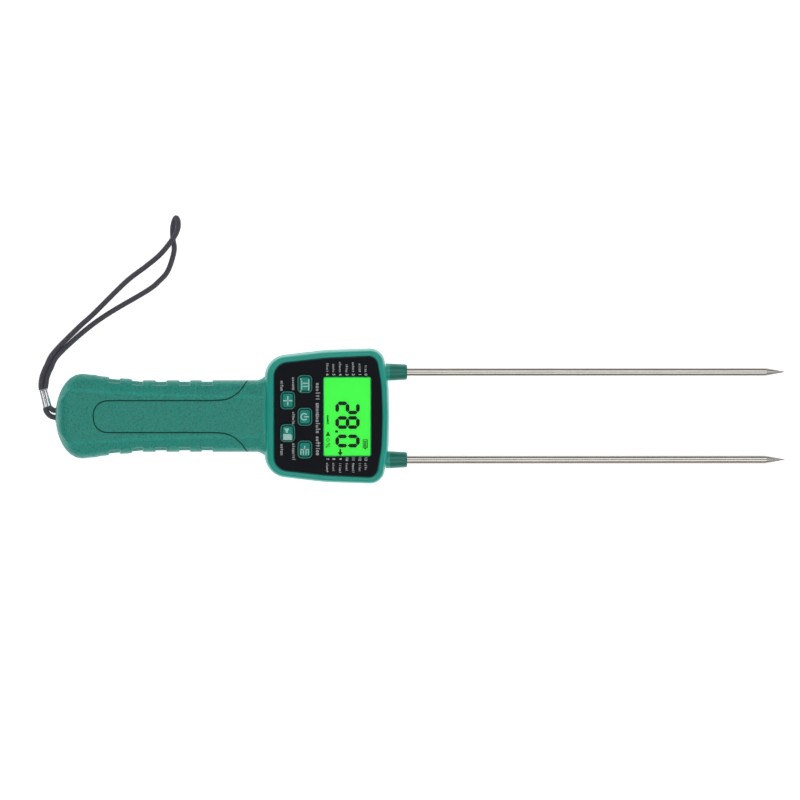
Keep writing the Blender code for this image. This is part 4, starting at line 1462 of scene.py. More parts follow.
class MarkMaker:
    """Makes rows of small marks with Geometry Nodes, each picked at random from a few shapes."""

    def __init__(self, shapes: Sequence[Shape]) -> None:
        """Builds the node group and keeps the shapes outside the scene.

        Args:
            shapes: The marks to pick from, one unit high and one unit thick.
        """
        self.store = bpy.data.collections.new("mark_shapes")
        for number, shape in enumerate(shapes):
            made = shape.piece(f"mark_shape_{number}", [])
            bpy.context.scene.collection.objects.unlink(made)
            self.store.objects.link(made)
        self.tree = self._build()
        self.keys = {item.name: item.identifier for item in self.tree.interface.items_tree
                     if item.in_out == "INPUT"}

    @staticmethod
    def _build() -> Tree:
        """The node group: a line of points, a mark on each, made real and painted."""
        group = Group("mark_row", "GeometryNodeTree",
                      {"Count": ("NodeSocketInt", 5), "Start": (VECTOR, (0.0, 0.0, 0.0)),
                       "Step": (VECTOR, (0.0, -0.001, 0.0)), "Size": (VECTOR, (1.0, 1.0, 1.0)),
                       "Least": (FLOAT, 0.6), "Seed": ("NodeSocketInt", 1),
                       "Shapes": ("NodeSocketCollection", None),
                       "Finish": ("NodeSocketMaterial", None)},
                      {"Geometry": "NodeSocketGeometry"})
        inlet = group.inlet
        line = group.add("GeometryNodeMeshLine", {"Count": inlet["Count"],
                                                  "Start Location": inlet["Start"],
                                                  "Offset": inlet["Step"]}, mode="OFFSET")
        shapes = group.add("GeometryNodeCollectionInfo", {
            "Collection": inlet["Shapes"], "Separate Children": True, "Reset Children": True})
        pick = group.add("FunctionNodeRandomValue", {4: 0, 5: 99, "Seed": inlet["Seed"]},
                         data_type="INT")
        share = group.add("FunctionNodeRandomValue", {2: inlet["Least"], 3: 1.0,
                                                      "Seed": inlet["Seed"]}, data_type="FLOAT")
        size = group.add("ShaderNodeVectorMath", {0: inlet["Size"], "Scale": share.outputs[1]},
                         operation="SCALE")
        placed = group.add("GeometryNodeInstanceOnPoints",
                           {"Points": line.outputs[0], "Instance": shapes.outputs[0],
                            "Pick Instance": True, "Instance Index": pick.outputs[2],
                            "Scale": size.outputs[0]})
        real = group.add("GeometryNodeRealizeInstances", {0: placed.outputs[0]})
        painted = group.add("GeometryNodeSetMaterial", {0: real.outputs[0],
                                                        "Material": inlet["Finish"]})
        group.result("Geometry", painted.outputs[0])
        return group.tree

    def row(self, name: str, start: Point, step: Point, size: Point,
            **inputs: object) -> Piece:
        """Makes one row as a plain mesh.

        Args:
            name: Name of the new object.
            start: Place of the first mark, in millimetres.
            step: From one mark to the next, in millimetres.
            size: Size of the tallest mark, in millimetres.
            inputs: Values of the group's other inputs, by their names in small letters.

        Returns:
            The new object, in metres.
        """
        holder = add_object(name, bpy.data.meshes.new(name))
        row = holder.modifiers.new("row", "NODES")
        row.node_group = self.tree
        inputs |= {"start": tuple(v * MM for v in start), "step": tuple(v * MM for v in step),
                   "size": size, "shapes": self.store}
        for title, value in inputs.items():
            row[self.keys[title.title()]] = value
        settle(holder)
        return holder

    def line(self, name: str, row: MarkRow, height: float, seed: int,
             finish: Paint) -> Piece:
        """Makes one line of marks on a surface.

        Args:
            name: Name of the new object.
            row: The line.
            height: Height of the surface.
            seed: Seed of the random picks.
            finish: Finish of the marks.

        Returns:
            The new object, in metres.
        """
        count = max(2, round((row.y[0] - row.y[1]) / row.pitch))
        step = (row.y[0] - row.y[1]) / count
        tall = row.x[1] - row.x[0]
        return self.row(name, (row.x[0], row.y[0] - step / 2, height), (0.0, -step, 0.0),
                        (tall, tall, 0.1), count=count, seed=seed, least=0.78, finish=finish)

    def clear(self) -> None:
        """Removes the shapes and the node group."""
        for made in list(self.store.objects):
            drop(made)
        bpy.data.collections.remove(self.store)
        bpy.data.node_groups.remove(self.tree)


def join(name: str, parts: Sequence[Piece]) -> Piece:
    """Joins mesh objects that share their material slots into one object.

    Args:
        name: Name of the joined object.
        parts: The objects, which go.

    Returns:
        The joined object.
    """
    shape = bmesh.new()
    for part in parts:
        shape.from_mesh(part.data)
    data = bpy.data.meshes.new(name)
    shape.to_mesh(data)
    shape.free()
    for finish in parts[0].data.materials:
        data.materials.append(finish)
    for part in parts:
        drop(part)
    return add_object(name, data)


class FacePanel(Assembly):
    """The black panel with its printed marks."""

    CAPTIONS: tuple[MarkRow, ...] = (
        MarkRow((-82.3, -80.2), (25.3, 17.0)), MarkRow((-82.3, -80.2), (3.3, -4.8)),
        MarkRow((-82.3, -80.2), (-16.9, -27.9)), MarkRow((-89.8, -87.7), (23.0, 16.5)),
        MarkRow((-89.8, -87.7), (-17.4, -24.7)), MarkRow((-67.2, -64.3), (21.8, 10.4), 1.8),
        MarkRow((-67.2, -64.3), (8.8, -10.6), 1.8), MarkRow((-67.2, -64.3), (-12.4, -24.7), 1.8))
    COLUMNS: tuple[float, ...] = (-35.3, -39.1, -43.3, -47.4, -51.6, -55.8, -59.8)
    PRINT_HEIGHT = 0.05

    def build(self) -> None:
        """Makes the panel and its print."""
        self._panel()
        self._print()

    def _panel(self) -> None:
        """The gloss panel with its openings, each with a small rounded edge."""
        form, face = self.form, self.face
        _, recess = form.head_rings()
        outline = inset(recess, face.gap)
        panel = Shape().prism(outline, form.bed + face.gap, face.panel_top,
                              round_off=0.25).piece("panel_plate", [])
        openings = Shape()
        for _, middle in face.keys:
            openings.loft([lift(face.key_outline(middle, margin), z) for margin, z in
                           ((0.3, 27.0), (0.3, 29.3), (0.42, 29.45), (0.6, 29.6), (0.6, 31.0))])
        openings.loft([lift(face.window_outline(margin), z) for margin, z in
                       ((0.0, 27.0), (0.0, 29.35), (0.1, 29.47), (0.25, 29.6), (0.25, 31.0))])
        combine(panel, "DIFFERENCE", openings)
        shade(panel.data, 10)
        repaint(panel.data, self.paints["panel_gloss"])
        dress(panel, HOUSING, "panel_black", "face_panel")

    def _print(self) -> None:
        """Neutral caption marks and the two number columns."""
        maker = MarkMaker(plain_marks())
        parts = [maker.line(f"marks_{number}", row, self.face.panel_top, number + 1,
                            self.paints["panel_print"])
                 for number, row in enumerate([*self.CAPTIONS, *self._list_rows()])]
        maker.clear()
        for number in range(14):
            column = number if number < 7 else 13 - number
            parts.append(self._number(str(number), self.COLUMNS[column],
                                      26.9 if number < 7 else -27.0))
        dress(join("panel_marks", parts), HOUSING, "panel_black")

    def _list_rows(self) -> list[MarkRow]:
        """Two lists of short marks beside the numbers, one on each side of the window."""
        lengths = (4.6, 5.6, 6.4, 5.2, 6.6, 5.4, 6.0)
        rows = []
        for x, length in zip(self.COLUMNS, lengths):
            rows.append(MarkRow((x - 0.8, x + 0.9), (28.4 + length, 28.4), 1.08))
            rows.append(MarkRow((x - 0.8, x + 0.9), (-29.5, -29.5 - length), 1.08))
        return rows

    def _number(self, text: str, x: float, y: float) -> Piece:
        """One printed number, its top towards +X."""
        font = bpy.data.curves.new(f"number_{text}", "FONT")
        font.body = text
        font.size = 2.5 * MM
        font.extrude = self.PRINT_HEIGHT * MM
        font.align_x, font.align_y = "CENTER", "CENTER"
        font.resolution_u = 3
        font.offset = 0.04 * MM
        holder = add_object(font.name, font)
        holder.rotation_euler.z = -math.pi / 2
        holder.location = (x * MM, y * MM, self.face.panel_top * MM)
        data = shown_mesh(holder)
        data.transform(holder.matrix_world)
        repaint(data, self.paints["panel_print"])
        bpy.data.objects.remove(holder)
        bpy.data.curves.remove(font)
        return add_object(f"number_{text}_mesh", data)


class Display(Assembly):
    """The window, the lit display cell with its segments, and what holds it."""

    DIGITS: tuple[tuple[str, float], ...] = (("abdeg", 9.65), ("abcdefg", 0.3), ("abcdef", -11.5))
    DIGIT_X: Point = (-54.7, -39.1)
    DIGIT_WIDTH = 8.3
    STROKE = 2.4
    INK = 0.04
    BARS: tuple[tuple[Point, Point], ...] = (
        ((-54.8, -53.0), (-10.3, -8.8)), ((-52.1, -51.1), (-23.0, -20.6)),
        ((-37.2, -36.7), (-20.2, -14.6)), ((-34.5, -34.0), (-20.2, -14.6)),
        ((-36.7, -34.5), (-15.1, -14.6)), ((-36.7, -34.5), (-20.2, -19.7)),
        ((-36.2, -35.0), (-20.9, -20.2)), ((-36.4, -34.8), (-16.7, -15.8)),
        ((-36.4, -34.8), (-18.0, -17.1)), ((-36.4, -34.8), (-19.3, -18.4)))
    ARROW: tuple[Point, ...] = ((-53.3, -22.8), (-49.9, -22.8), (-51.6, -25.1))
    HORN: tuple[Point, ...] = ((-60.0, -9.9), (-58.8, -9.9), (-58.8, -11.0), (-57.7, -12.4),
                               (-61.1, -12.4), (-60.0, -11.0))
    SLASH: tuple[Point, ...] = ((-60.8, -17.2), (-60.8, -17.7), (-58.0, -19.9), (-58.0, -19.4))
    RINGS: tuple[Point, ...] = ((-59.4, -14.9, 1.1), (-58.6, -17.6, 0.65), (-60.3, -19.4, 0.65))

    def build(self) -> None:
        """Makes the window and the segments, and finishes the nodes around them."""
        face = self.face
        window = Shape().prism(face.window_outline(-face.gap), self.form.bed + face.gap,
                               face.panel_top, round_off=0.12)
        self.add(window, "window_pane", "window_clear", "window_clear", "display_window",
                 smooth=10)
        self._segments()
        for name, finish, slot in (("lcd_cell", "display_glow", "display_green"),
                                   ("lcd_backlight", "light_guide", "light_guide_white"),
                                   ("lcd_frame", "dark_plastic", "dark_plastic"),
                                   ("lcd_connector", "soft_rubber", "rubber_strip")):
            self.paint_node(name, finish, slot)

    def _digit(self, shape: Shape, segments: str, start: float) -> None:
        """One seven-segment digit that starts at y = `start` and reads towards -Y."""
        low, high = self.DIGIT_X
        middle, half, gap = (low + high) / 2, self.STROKE / 2, 0.16
        top = self.face.lcd_top
        for name in segments:
            if name in "adg":
                x = {"a": high - half, "d": low + half, "g": middle}[name]
                y0, y1 = start - half - gap, start - self.DIGIT_WIDTH + half + gap
                tips = [(x, y0), (x + half, y0 - half), (x + half, y1 + half), (x, y1),
                        (x - half, y1 + half), (x - half, y0 - half)]
            else:
                y = start - half if name in "fe" else start - self.DIGIT_WIDTH + half
                ends = (middle, high - half) if name in "fb" else (low + half, middle)
                x0, x1 = ends[0] + gap, ends[1] - gap
                tips = [(x0, y), (x0 + half, y + half), (x1 - half, y + half), (x1, y),
                        (x1 - half, y - half), (x0 + half, y - half)]
            shape.prism(tips, top, top + self.INK)

    def _segments(self) -> None:
        """The reading, its point, and the small signs round it."""
        shape = Shape()
        for segments, start in self.DIGITS:
            self._digit(shape, segments, start)
        low, high = self.face.lcd_top, self.face.lcd_top + self.INK
        for xs, ys in self.BARS[:2]:
            shape.box(xs, ys, (low, high))
        shape.prism(list(self.ARROW), low, high)
        for xs, ys in self.BARS[2:]:
            shape.box(xs, ys, (low, high))
        shape.prism(list(self.HORN), low, high, slot=1)
        for x, y, reach in self.RINGS:
            shape.loft([lift(circle(radius, 20, (x, y)), z) for radius, z in
                        ((reach - 0.4, low), (reach, low), (reach, high), (reach - 0.4, high))],
                       True, 1)
        shape.prism(list(self.SLASH), low, high, slot=1)
        dress(shape.piece("display_segments", self.paints.some("display_ink", "display_faint")),
              HOUSING, "display_green")
        maker = MarkMaker(plain_marks(0.3, 0.36))
        word = maker.line("display_word", MarkRow((-60.2, -58.3), (0.9, -5.2), 1.2), low + 0.02,
                          60, self.paints["display_faint"])
        maker.clear()
        dress(word, HOUSING, "display_green")


class Keypad(Assembly):
    """The five keys with their printed signs."""

    SIDE: tuple[Point, ...] = ((0.0, 25.6), (0.0, 29.95), (-0.06, 30.2), (-0.14, 30.33))
    RING: tuple[Point, ...] = ((-0.14, 30.33), (-0.3, 30.4), (-0.5, 30.38), (-0.66, 30.24))
    MOAT: tuple[Point, ...] = ((-0.66, 30.24), (-0.8, 29.98), (-0.95, 29.84), (-1.3, 29.8),
                               (-1.45, 29.9))
    PAD: tuple[Point, ...] = ((-1.45, 29.9), (-1.6, 30.12), (-1.8, 30.24), (-2.05, 30.29),
                              (-2.4, 30.3))
    INK_TOP = 30.36
    STROKE = 0.78

    STROKES: dict[KeySign, tuple[tuple[Point, Point], ...]] = {
        KeySign.BARS: (((-76.2, 23.6), (-76.2, 17.0)), ((-71.7, 23.6), (-71.7, 17.0)),
                       ((-76.2, 23.6), (-76.8, 24.2)), ((-76.2, 17.0), (-76.8, 16.4)),
                       ((-75.1, 21.4), (-72.8, 21.4)), ((-75.1, 19.4), (-72.8, 19.4))),
        KeySign.POWER: (((-74.3, 0.0), (-71.9, 0.0)),),
        KeySign.FORK: (((-76.8, -20.9), (-71.9, -20.9)), ((-74.3, -18.9), (-74.3, -20.9))),
        KeySign.PLUS: (((-85.1, 12.9), (-85.1, 7.7)), ((-87.7, 10.3), (-82.5, 10.3))),
        KeySign.VOICE: ()}
    PLUS_STROKE = 0.85
    TINE_STROKE = 0.7
    TINES: tuple[float, ...] = (-76.8, -75.15, -73.5, -71.9)
    HORN: tuple[Point, ...] = ((-87.1, -7.4), (-84.3, -7.4), (-84.3, -7.9), (-85.0, -9.2),
                               (-85.0, -10.2), (-86.4, -10.2), (-86.4, -9.2), (-87.1, -7.9))
    CARD: tuple[Point, ...] = ((-88.1, -11.0), (-83.5, -11.0), (-82.4, -12.0), (-82.4, -14.9),
                               (-88.1, -14.9))

    def build(self) -> None:
        """Makes each key with its sign."""
        for sign, middle in self.face.keys:
            shape = Shape()
            self._cap(shape, middle)
            self._sign(shape, sign)
            made = shape.piece(f"{sign.value}_cap", self.paints.some(
                "key_green", "key_print", "key_ring", "key_moat"), 30)
            merge_points(made, 0.001)
            dress(made, sign.value, "key_green", sign.value)

    def _cap(self, shape: Shape, middle: Point) -> None:
        """The cap with its ring, moat and pad, its flange and its plunger; the ring is coloured with
        a painted highlight and the moat with a painted shade.
        """
        face = self.face
        steps = 10
        flange = face.key_outline(middle, 0.5, steps)
        cap = face.key_outline(middle, 0.0, steps)
        centre = Vector(middle)
        plunger = [tuple(centre + (Vector(p) - centre).normalized() * 1.7) for p in cap]
        foot = [lift(plunger, 21.0), lift(plunger, 24.6), lift(flange, 24.6), lift(flange, 25.6)]
        # The ring's faces take a painted highlight and the moat's faces a painted shade.
        for profile, slot in ((self.SIDE, 0), (self.RING, 2), (self.MOAT, 3), (self.PAD, 0)):
            rings = [lift(face.key_outline(middle, margin, steps), z) for margin, z in profile]
            shape.skin(foot + rings, slot, (bool(foot), profile is self.PAD))
            foot = []

    def _stroke(self, shape: Shape, start: Point, end: Point, width: float) -> None:
        """One straight printed line with round ends."""
        one, two = Vector(start), Vector(end)
        ahead = (two - one).normalized()
        angle = math.atan2(ahead.y, ahead.x)
        points = []
        for middle, first in ((two, -math.pi / 2), (one, math.pi / 2)):
            for k in range(7):
                turn = angle + first + k * math.pi / 6
                points.append((middle.x + width / 2 * math.cos(turn),
                               middle.y + width / 2 * math.sin(turn)))
        shape.prism(points, self.INK_TOP - 0.12, self.INK_TOP, slot=1)

    def _sign(self, shape: Shape, sign: KeySign) -> None:
        """A key's printed sign: its strokes, and a ring, tines or a horn and a card."""
        low, high = self.INK_TOP - 0.12, self.INK_TOP
        if sign is KeySign.POWER:
            self._broken_ring(shape)
        if sign is KeySign.FORK:
            for x in self.TINES:
                self._stroke(shape, (x, -21.2), (x, -23.9), self.TINE_STROKE)
        if sign is KeySign.VOICE:
            for outline in (self.HORN, self.CARD):
                shape.prism(list(outline), low, high, slot=1)
        for start, end in self.STROKES[sign]:
            self._stroke(shape, start, end,
                         self.PLUS_STROKE if sign is KeySign.PLUS else self.STROKE)

    def _broken_ring(self, shape: Shape) -> None:
        """The ring of the power sign, open towards +X."""
        low, high = self.INK_TOP - 0.12, self.INK_TOP
        sections = []
        for k in range(25):
            angle = math.radians(38 + k * (322 - 38) / 24)
            inner, outer = ((-74.6 + radius * math.cos(angle), radius * math.sin(angle))
                            for radius in (1.6, 2.4))
            sections.append([(*inner, low), (*outer, low), (*outer, high), (*inner, high)])
        shape.loft(sections, slot=1)


class Probes(Assembly):
    """The two rods with the hardware that holds them."""

    ROD = 3.0
    STUD = 2.0
    SHOULDER = -15.0
    TIP = 233.7
    TAPER = 12.3

    def build(self) -> None:
        """Makes both rods, their bushes and nuts."""
        for side in Side:
            row = side.value * self.form.probe_y
            name = side.name.lower()
            self._rod(name, row)
            self._bush(name, row)
            self._nut(name, row)
            self.paint_node(f"solder_tag_{name}", "solder", "plated_steel")
            self.paint_node(f"probe_wire_{name}", "wire_red", "wire_red")

    def _rod(self, name: str, row: float) -> None:
        """One ground rod with a turned point and a threaded stud inside the head."""
        start = self.TIP - self.TAPER
        centre = (row, self.form.split)
        thread = []
        for k in range(18):
            x = -30.5 + 0.8 * k
            thread += [(self.STUD - 0.22, x), (self.STUD, x + 0.4)]
        shape = Shape().turned_x(centre, [*thread, (self.STUD, self.SHOULDER),
                                          (self.ROD - 0.2, self.SHOULDER),
                                          (self.ROD, self.SHOULDER + 0.2),
                                          (self.ROD, start - 0.9), (self.ROD - 0.03, start - 0.3),
                                          (self.ROD - 0.14, start + 0.3)], 48)
        point = [(self.ROD - 0.14, start + 0.3)]
        for k in range(1, 9):
            share = k / 8
            point.append(((self.ROD - 0.14) * (1 - share) + 0.15 * share,
                          start + 0.3 + (self.TAPER - 0.3) * share))
        shape.turned_x(centre, point, 48, slot=1)
        made = shape.piece(f"rod_{name}", self.paints.some("ground_steel", "turned_steel"), 30)
        merge_points(made, 0.001)
        dress(made, HOUSING, "ground_steel", f"probe_rod_{name}")

    def _bush(self, name: str, row: float) -> None:
        """The flanged brass bush round the stud."""
        bore = self.STUD + 0.3
        profile = [(bore, -24.5), (5.3, -24.5), (5.5, -24.3), (5.5, -22.7), (5.3, -22.5),
                   (3.8, -22.5), (3.8, self.SHOULDER - 0.5), (3.6, self.SHOULDER - 0.3),
                   (bore, self.SHOULDER - 0.3)]
        shape = Shape().turned_x((row, self.form.split), profile, 48, True)
        self.add(shape, f"bush_{name}", "brass", "brass", f"probe_bush_{name}")

    def _nut(self, name: str, row: float) -> None:
        """The hexagonal nut on the stud."""
        centre = Vector((row, self.form.split))
        bore = self.STUD + 0.3
        corner = 7.0 / math.sqrt(3)
        outline = []
        for side in range(6):
            one, two = (Vector((math.cos(a), math.sin(a))) * corner
                        for a in (side * math.pi / 3, (side + 1) * math.pi / 3))
            outline += [centre + one.lerp(two, k / 4) for k in range(4)]
        hole = [centre + (p - centre).normalized() * bore for p in outline]
        worn = [centre + (p - centre).normalized() * min((p - centre).length, 3.62)
                for p in outline]
        rings = [[(x, *p) for p in ring] for ring, x in
                 ((hole, -28.9), (worn, -28.9), (outline, -28.5), (outline, -26.1), (worn, -25.7),
                  (hole, -25.7))]
        self.add(Shape().loft(rings, True), f"nut_{name}", "brass", "brass",
                 f"probe_nut_{name}", smooth=30)


def merge_points(made: Piece, distance: float) -> None:
    """Merges the points of a piece that lie within `distance` millimetres of each other."""
    shape = bmesh.new()
    shape.from_mesh(made.data)
    bmesh.ops.remove_doubles(shape, verts=shape.verts, dist=distance * MM)
    shape.to_mesh(made.data)
    shape.free()


class BatteryBay(Assembly):
    """The cells, their springs and contacts, and the cover in the back."""

    def build(self) -> None:
        """Makes the cells, the springs and the cover, and finishes the contact plates."""
        bay = self.bay
        rear = bay.ends[0] + bay.plate
        near = rear + 2 * bay.gap + bay.spring
        front = rear + 3 * bay.gap + bay.spring + 2 * bay.cell_length + bay.gap
        cells = ((1, bay.cell_y, near, 1), (2, bay.cell_y, near + bay.cell_length + bay.gap, 1),
                 (3, -bay.cell_y, rear + bay.gap, -1),
                 (4, -bay.cell_y, rear + 2 * bay.gap + bay.cell_length, -1))
        for number, row, start, nub_side in cells:
            self._cell(number, row, start, nub_side)
        wire = 0.4
        self._spring(1, bay.cell_y, rear + bay.gap + wire, near - bay.gap - wire, wire)
        self._spring(2, -bay.cell_y, front - bay.gap - wire,
                     front - bay.spring - bay.gap + wire, wire)
        for name in ("battery_link", "battery_contact_plus", "battery_contact_minus"):
            self.paint_node(name, "plated_steel", "plated_steel")
        self._door()

    def _cell(self, number: int, row: float, start: float, nub_side: int) -> None:
        """One cell: a printed sleeve with a bright band, shrunk over metal ends."""
        bay = self.bay
        r, length = bay.cell_radius, bay.cell_length
        body = length - bay.nub
        parts = (([(r - 0.9, 0.0), (r - 0.6, 0.05), (r - 0.35, 0.3)], 2),
                 ([(r - 0.35, 0.3), (r - 0.05, 0.35), (r, 0.7), (r, 30.0)], 0),
                 ([(r, 30.0), (r, body - 0.8), (r - 0.1, body - 0.3), (r - 0.5, body - 0.02)], 1),
                 ([(r - 0.5, body - 0.02), (r - 0.9, body - 0.3), (2.6, body - 0.3),
                   (2.3, body), (1.9, body + 0.05), (1.9, length - 0.15),
                   (1.7, length)], 2))
        shape = Shape()
        for profile, slot in parts:
            turned = [(radius, start + x if nub_side > 0 else start + length - x)
                      for radius, x in profile]
            shape.turned_x((row, bay.cell_z), turned, 48, slot=slot)
        made = shape.piece(f"cell_{number}",
                           self.paints.some("cell_sleeve", "cell_band", "solder"))
        dress(made, HOUSING, "cell_wrap", f"battery_cell_{number}")

    def _spring(self, number: int, row: float, start: float, end: float, wire: float) -> None:
        """A conical coil spring, wide where it meets its plate."""
        turns, steps = 3, 28
        path = []
        for i in range(turns * steps + 1):
            share = i / (turns * steps)
            radius, angle = 3.4 - 1.6 * share, 2 * math.pi * turns * share
            path.append(Vector((start + (end - start) * share, row + radius * math.cos(angle),
                                self.bay.cell_z + radius * math.sin(angle))))
        self.add(Shape().tube(path, lambda i, angle: wire, 10), f"spring_{number}",
                 "plated_steel", "plated_steel", f"battery_spring_{number}")

    def _door(self) -> None:
        """The cover: a round hinge edge, ribs for the thumb in a dish, and a snap hook."""
        bay = self.bay
        low, high = bay.ends[0] + bay.gap, bay.ends[1] - bay.gap
        axis = (high - bay.hinge, bay.door_top - bay.hinge)
        half = bay.half - bay.gap
        section = [(low + 0.25, bay.gap), (low, bay.gap + 0.25), (low, bay.door_top)]
        for k in range(13):
            angle = math.pi / 2 - k * math.pi / 12
            section.append((axis[0] + bay.hinge * math.cos(angle),
                            axis[1] + bay.hinge * math.sin(angle)))
        rings = [[(x, y, z) for x, z in section] for y in (-half, half)]
        door = Shape().loft(rings).piece("door_cover", [])
        hook = Shape()
        latch = [(low + 1.4, 2.0), (low + 2.4, 2.0), (low + 2.4, 4.6), (low + 1.7, 4.6),
                 (low + 1.4, 4.2)]
        hook.loft([[(x, y, z) for x, z in latch] for y in (-1.0, 1.0)])
        combine(door, "UNION", hook)
        dish = Shape().loft([lift(rounded_rectangle((low + 14.0, 0.0), (2 * a, 2 * b), b - 0.2, 10),
                                  z) for a, b, z in ((7.2, 5.2, bay.gap - 0.5),
                                                     (7.0, 5.0, bay.gap), (6.4, 4.4, 1.0))])
        combine(door, "DIFFERENCE", dish)
        ribs = Shape()
        for k in range(-2, 3):
            x = low + 14.0 + 2.0 * k
            ribs.loft([lift(rounded_rectangle((x, 0.0), (w, 5.6), w / 2 - 0.01, 6), z)
                       for w, z in ((0.9, 1.3), (0.9, 0.7), (0.5, 0.45))])
        combine(door, "UNION", ribs)
        repaint(door.data, self.paints["moulded_green"])
        dress(door, "battery_door", "housing_green", "battery_door")


class Electronics(Assembly):
    """The circuit board with its parts, and the loudspeaker."""

    def build(self) -> None:
        """Makes the board's small parts and the loudspeaker, and finishes the rest."""
        self.paint_node("main_board", "board_mask", "board_laminate")
        for name in ("processor_chip", "voice_chip"):
            self.paint_node(name, "dark_plastic", "dark_plastic")
        for sign in KeySign:
            self.paint_node(sign.value.replace("key", "switch"), "dark_plastic", "dark_plastic")
        for name, finish in (("battery_wire_plus", "wire_red"), ("battery_wire_minus", "wire_black"),
                             ("speaker_wire_1", "wire_red"), ("speaker_wire_2", "wire_black")):
            self.paint_node(name, finish, finish)
        self._pins()
        self._speaker()

    def _pins(self) -> None:
        """The chips' pins and rows of small parts under the board."""
        maker = MarkMaker([Shape().box((-0.5, 0.5), (-0.5, 0.5), (-0.5, 0.5))])
        rows = [((-83.4, y, 16.85), (1.1, 0.0, 0.0), 10, (0.45, 1.0, 0.28))
                for y in (19.4, 8.6)]
        rows += [((x, 18.5, 16.85), (0.0, -1.0, 0.0), 10, (1.0, 0.45, 0.28))
                 for x in (-83.4, -72.6)]
        rows += [((-80.3, y, 16.85), (1.27, 0.0, 0.0), 4, (0.5, 1.1, 0.28))
                 for y in (-9.1, -18.9)]
        rows += [((-64.0, 20.0, 16.7), (0.0, -3.2, 0.0), 13, (2.0, 1.2, 0.6)),
                 ((-40.0, 19.0, 16.7), (0.0, -3.6, 0.0), 11, (1.6, 1.0, 0.6))]
        parts = [maker.row(f"pins_{number}", start, step, block, count=count, seed=40 + number,
                           least=0.95, finish=self.paints["solder"])
                 for number, (start, step, count, block) in enumerate(rows)]
        maker.clear()
        dress(join("board_pins", parts), HOUSING, "plated_steel")

    def _speaker(self) -> None:
        """A basket with a rolled edge and a paper cone that faces the grille."""
        face = self.face
        shape = Shape().turned_z(face.speaker, [
            (15.2, 2.9), (15.2, 4.2), (12.6, 4.5), (11.0, 7.4), (4.0, 7.4), (4.4, 6.6),
            (10.0, 4.3), (12.6, 3.6), (14.0, 2.9)], 72, True)
        cone = Shape()
        profile = [(13.8, 2.95), (13.1, 2.55), (12.3, 2.6), (11.7, 3.1), (9.8, 3.7), (7.8, 4.5),
                   (5.2, 5.6), (4.6, 5.5), (3.2, 4.7), (1.6, 4.2), (0.2, 4.1)]
        back = [(radius, z + 0.25) for radius, z in reversed(profile)]
        cone.turned_z(face.speaker, profile + back, 72, True)
        self.add(shape, "speaker_basket", "dark_plastic", "dark_plastic", "speaker")
        self.add(cone, "speaker_cone", "paper_cone", "dark_plastic")
        magnet = Shape().turned_z(face.speaker, [(7.2, 7.7), (7.5, 8.0), (7.5, 10.4),
                                                 (7.2, 10.7)], 64)
        self.add(magnet, "magnet_disc", "plated_steel", "plated_steel", "speaker_magnet")


class Fasteners(Assembly):
    """The screws, each with a cross recess and a thread."""

    def build(self) -> None:
        """Makes every screw."""
        for number, place in enumerate(self.form.case_screws, 1):
            self._screw(f"case_screw_{number}", place, 2.7, 1.5, (2.1, 4.1), 20.0)
        for number, place in enumerate(self.form.board_screws, 1):
            self._screw(f"board_screw_{number}", place, 2.1, 1.0, (15.2, 16.7), 23.6)

    def _screw(self, name: str, place: Point, head: float, shank: float, ends: Point,
               tip: float) -> None:
        """One screw.

        Args:
            name: CAD node that it stands for.
            place: Its middle.
            head: Radius of its head.
            shank: Radius of its thread.
            ends: Top and underside of its head.
            tip: End of its thread.
        """
        low, high = ends
        rounded = [(head * math.sin(a), low + 0.75 * (1 - math.cos(a)))
                   for a in (math.radians(v) for v in (8, 24, 40, 56, 72, 90))]
        shape = Shape().turned_z(place, [*rounded, (head, high), (shank - 0.3, high)], 40)
        made = shape.piece(f"{name}_head", [])
        cut = Shape()
        for length, width in ((0.62 * head, 0.16 * head), (0.16 * head, 0.62 * head)):
            x, y = place
            flare = 1.25
            cut.loft([lift([(x - a, y - b), (x + a, y - b), (x + a, y + b), (x - a, y + b)], z)
                      for a, b, z in ((length * flare, width * flare, low - 0.3),
                                      (length, width, low + 0.9))])
        combine(made, "DIFFERENCE", cut)
        thread = Shape()
        profile, z = [], high
        while z < tip - 1.6:
            profile += [(shank - 0.3, z + 0.02), (shank, z + 0.45), (shank - 0.3, z + 0.6)]
            z += 0.9
        thread.turned_z(place, [*profile, (shank - 0.3, tip - 1.2), (0.25, tip)], 24)
        steel = self.paints["plated_steel"]
        repaint(made.data, steel)
        whole = join(f"{name}_made", [made, thread.piece(f"{name}_thread", [steel])])
        shade(whole.data, 30)
        dress(whole, HOUSING, "plated_steel", name)


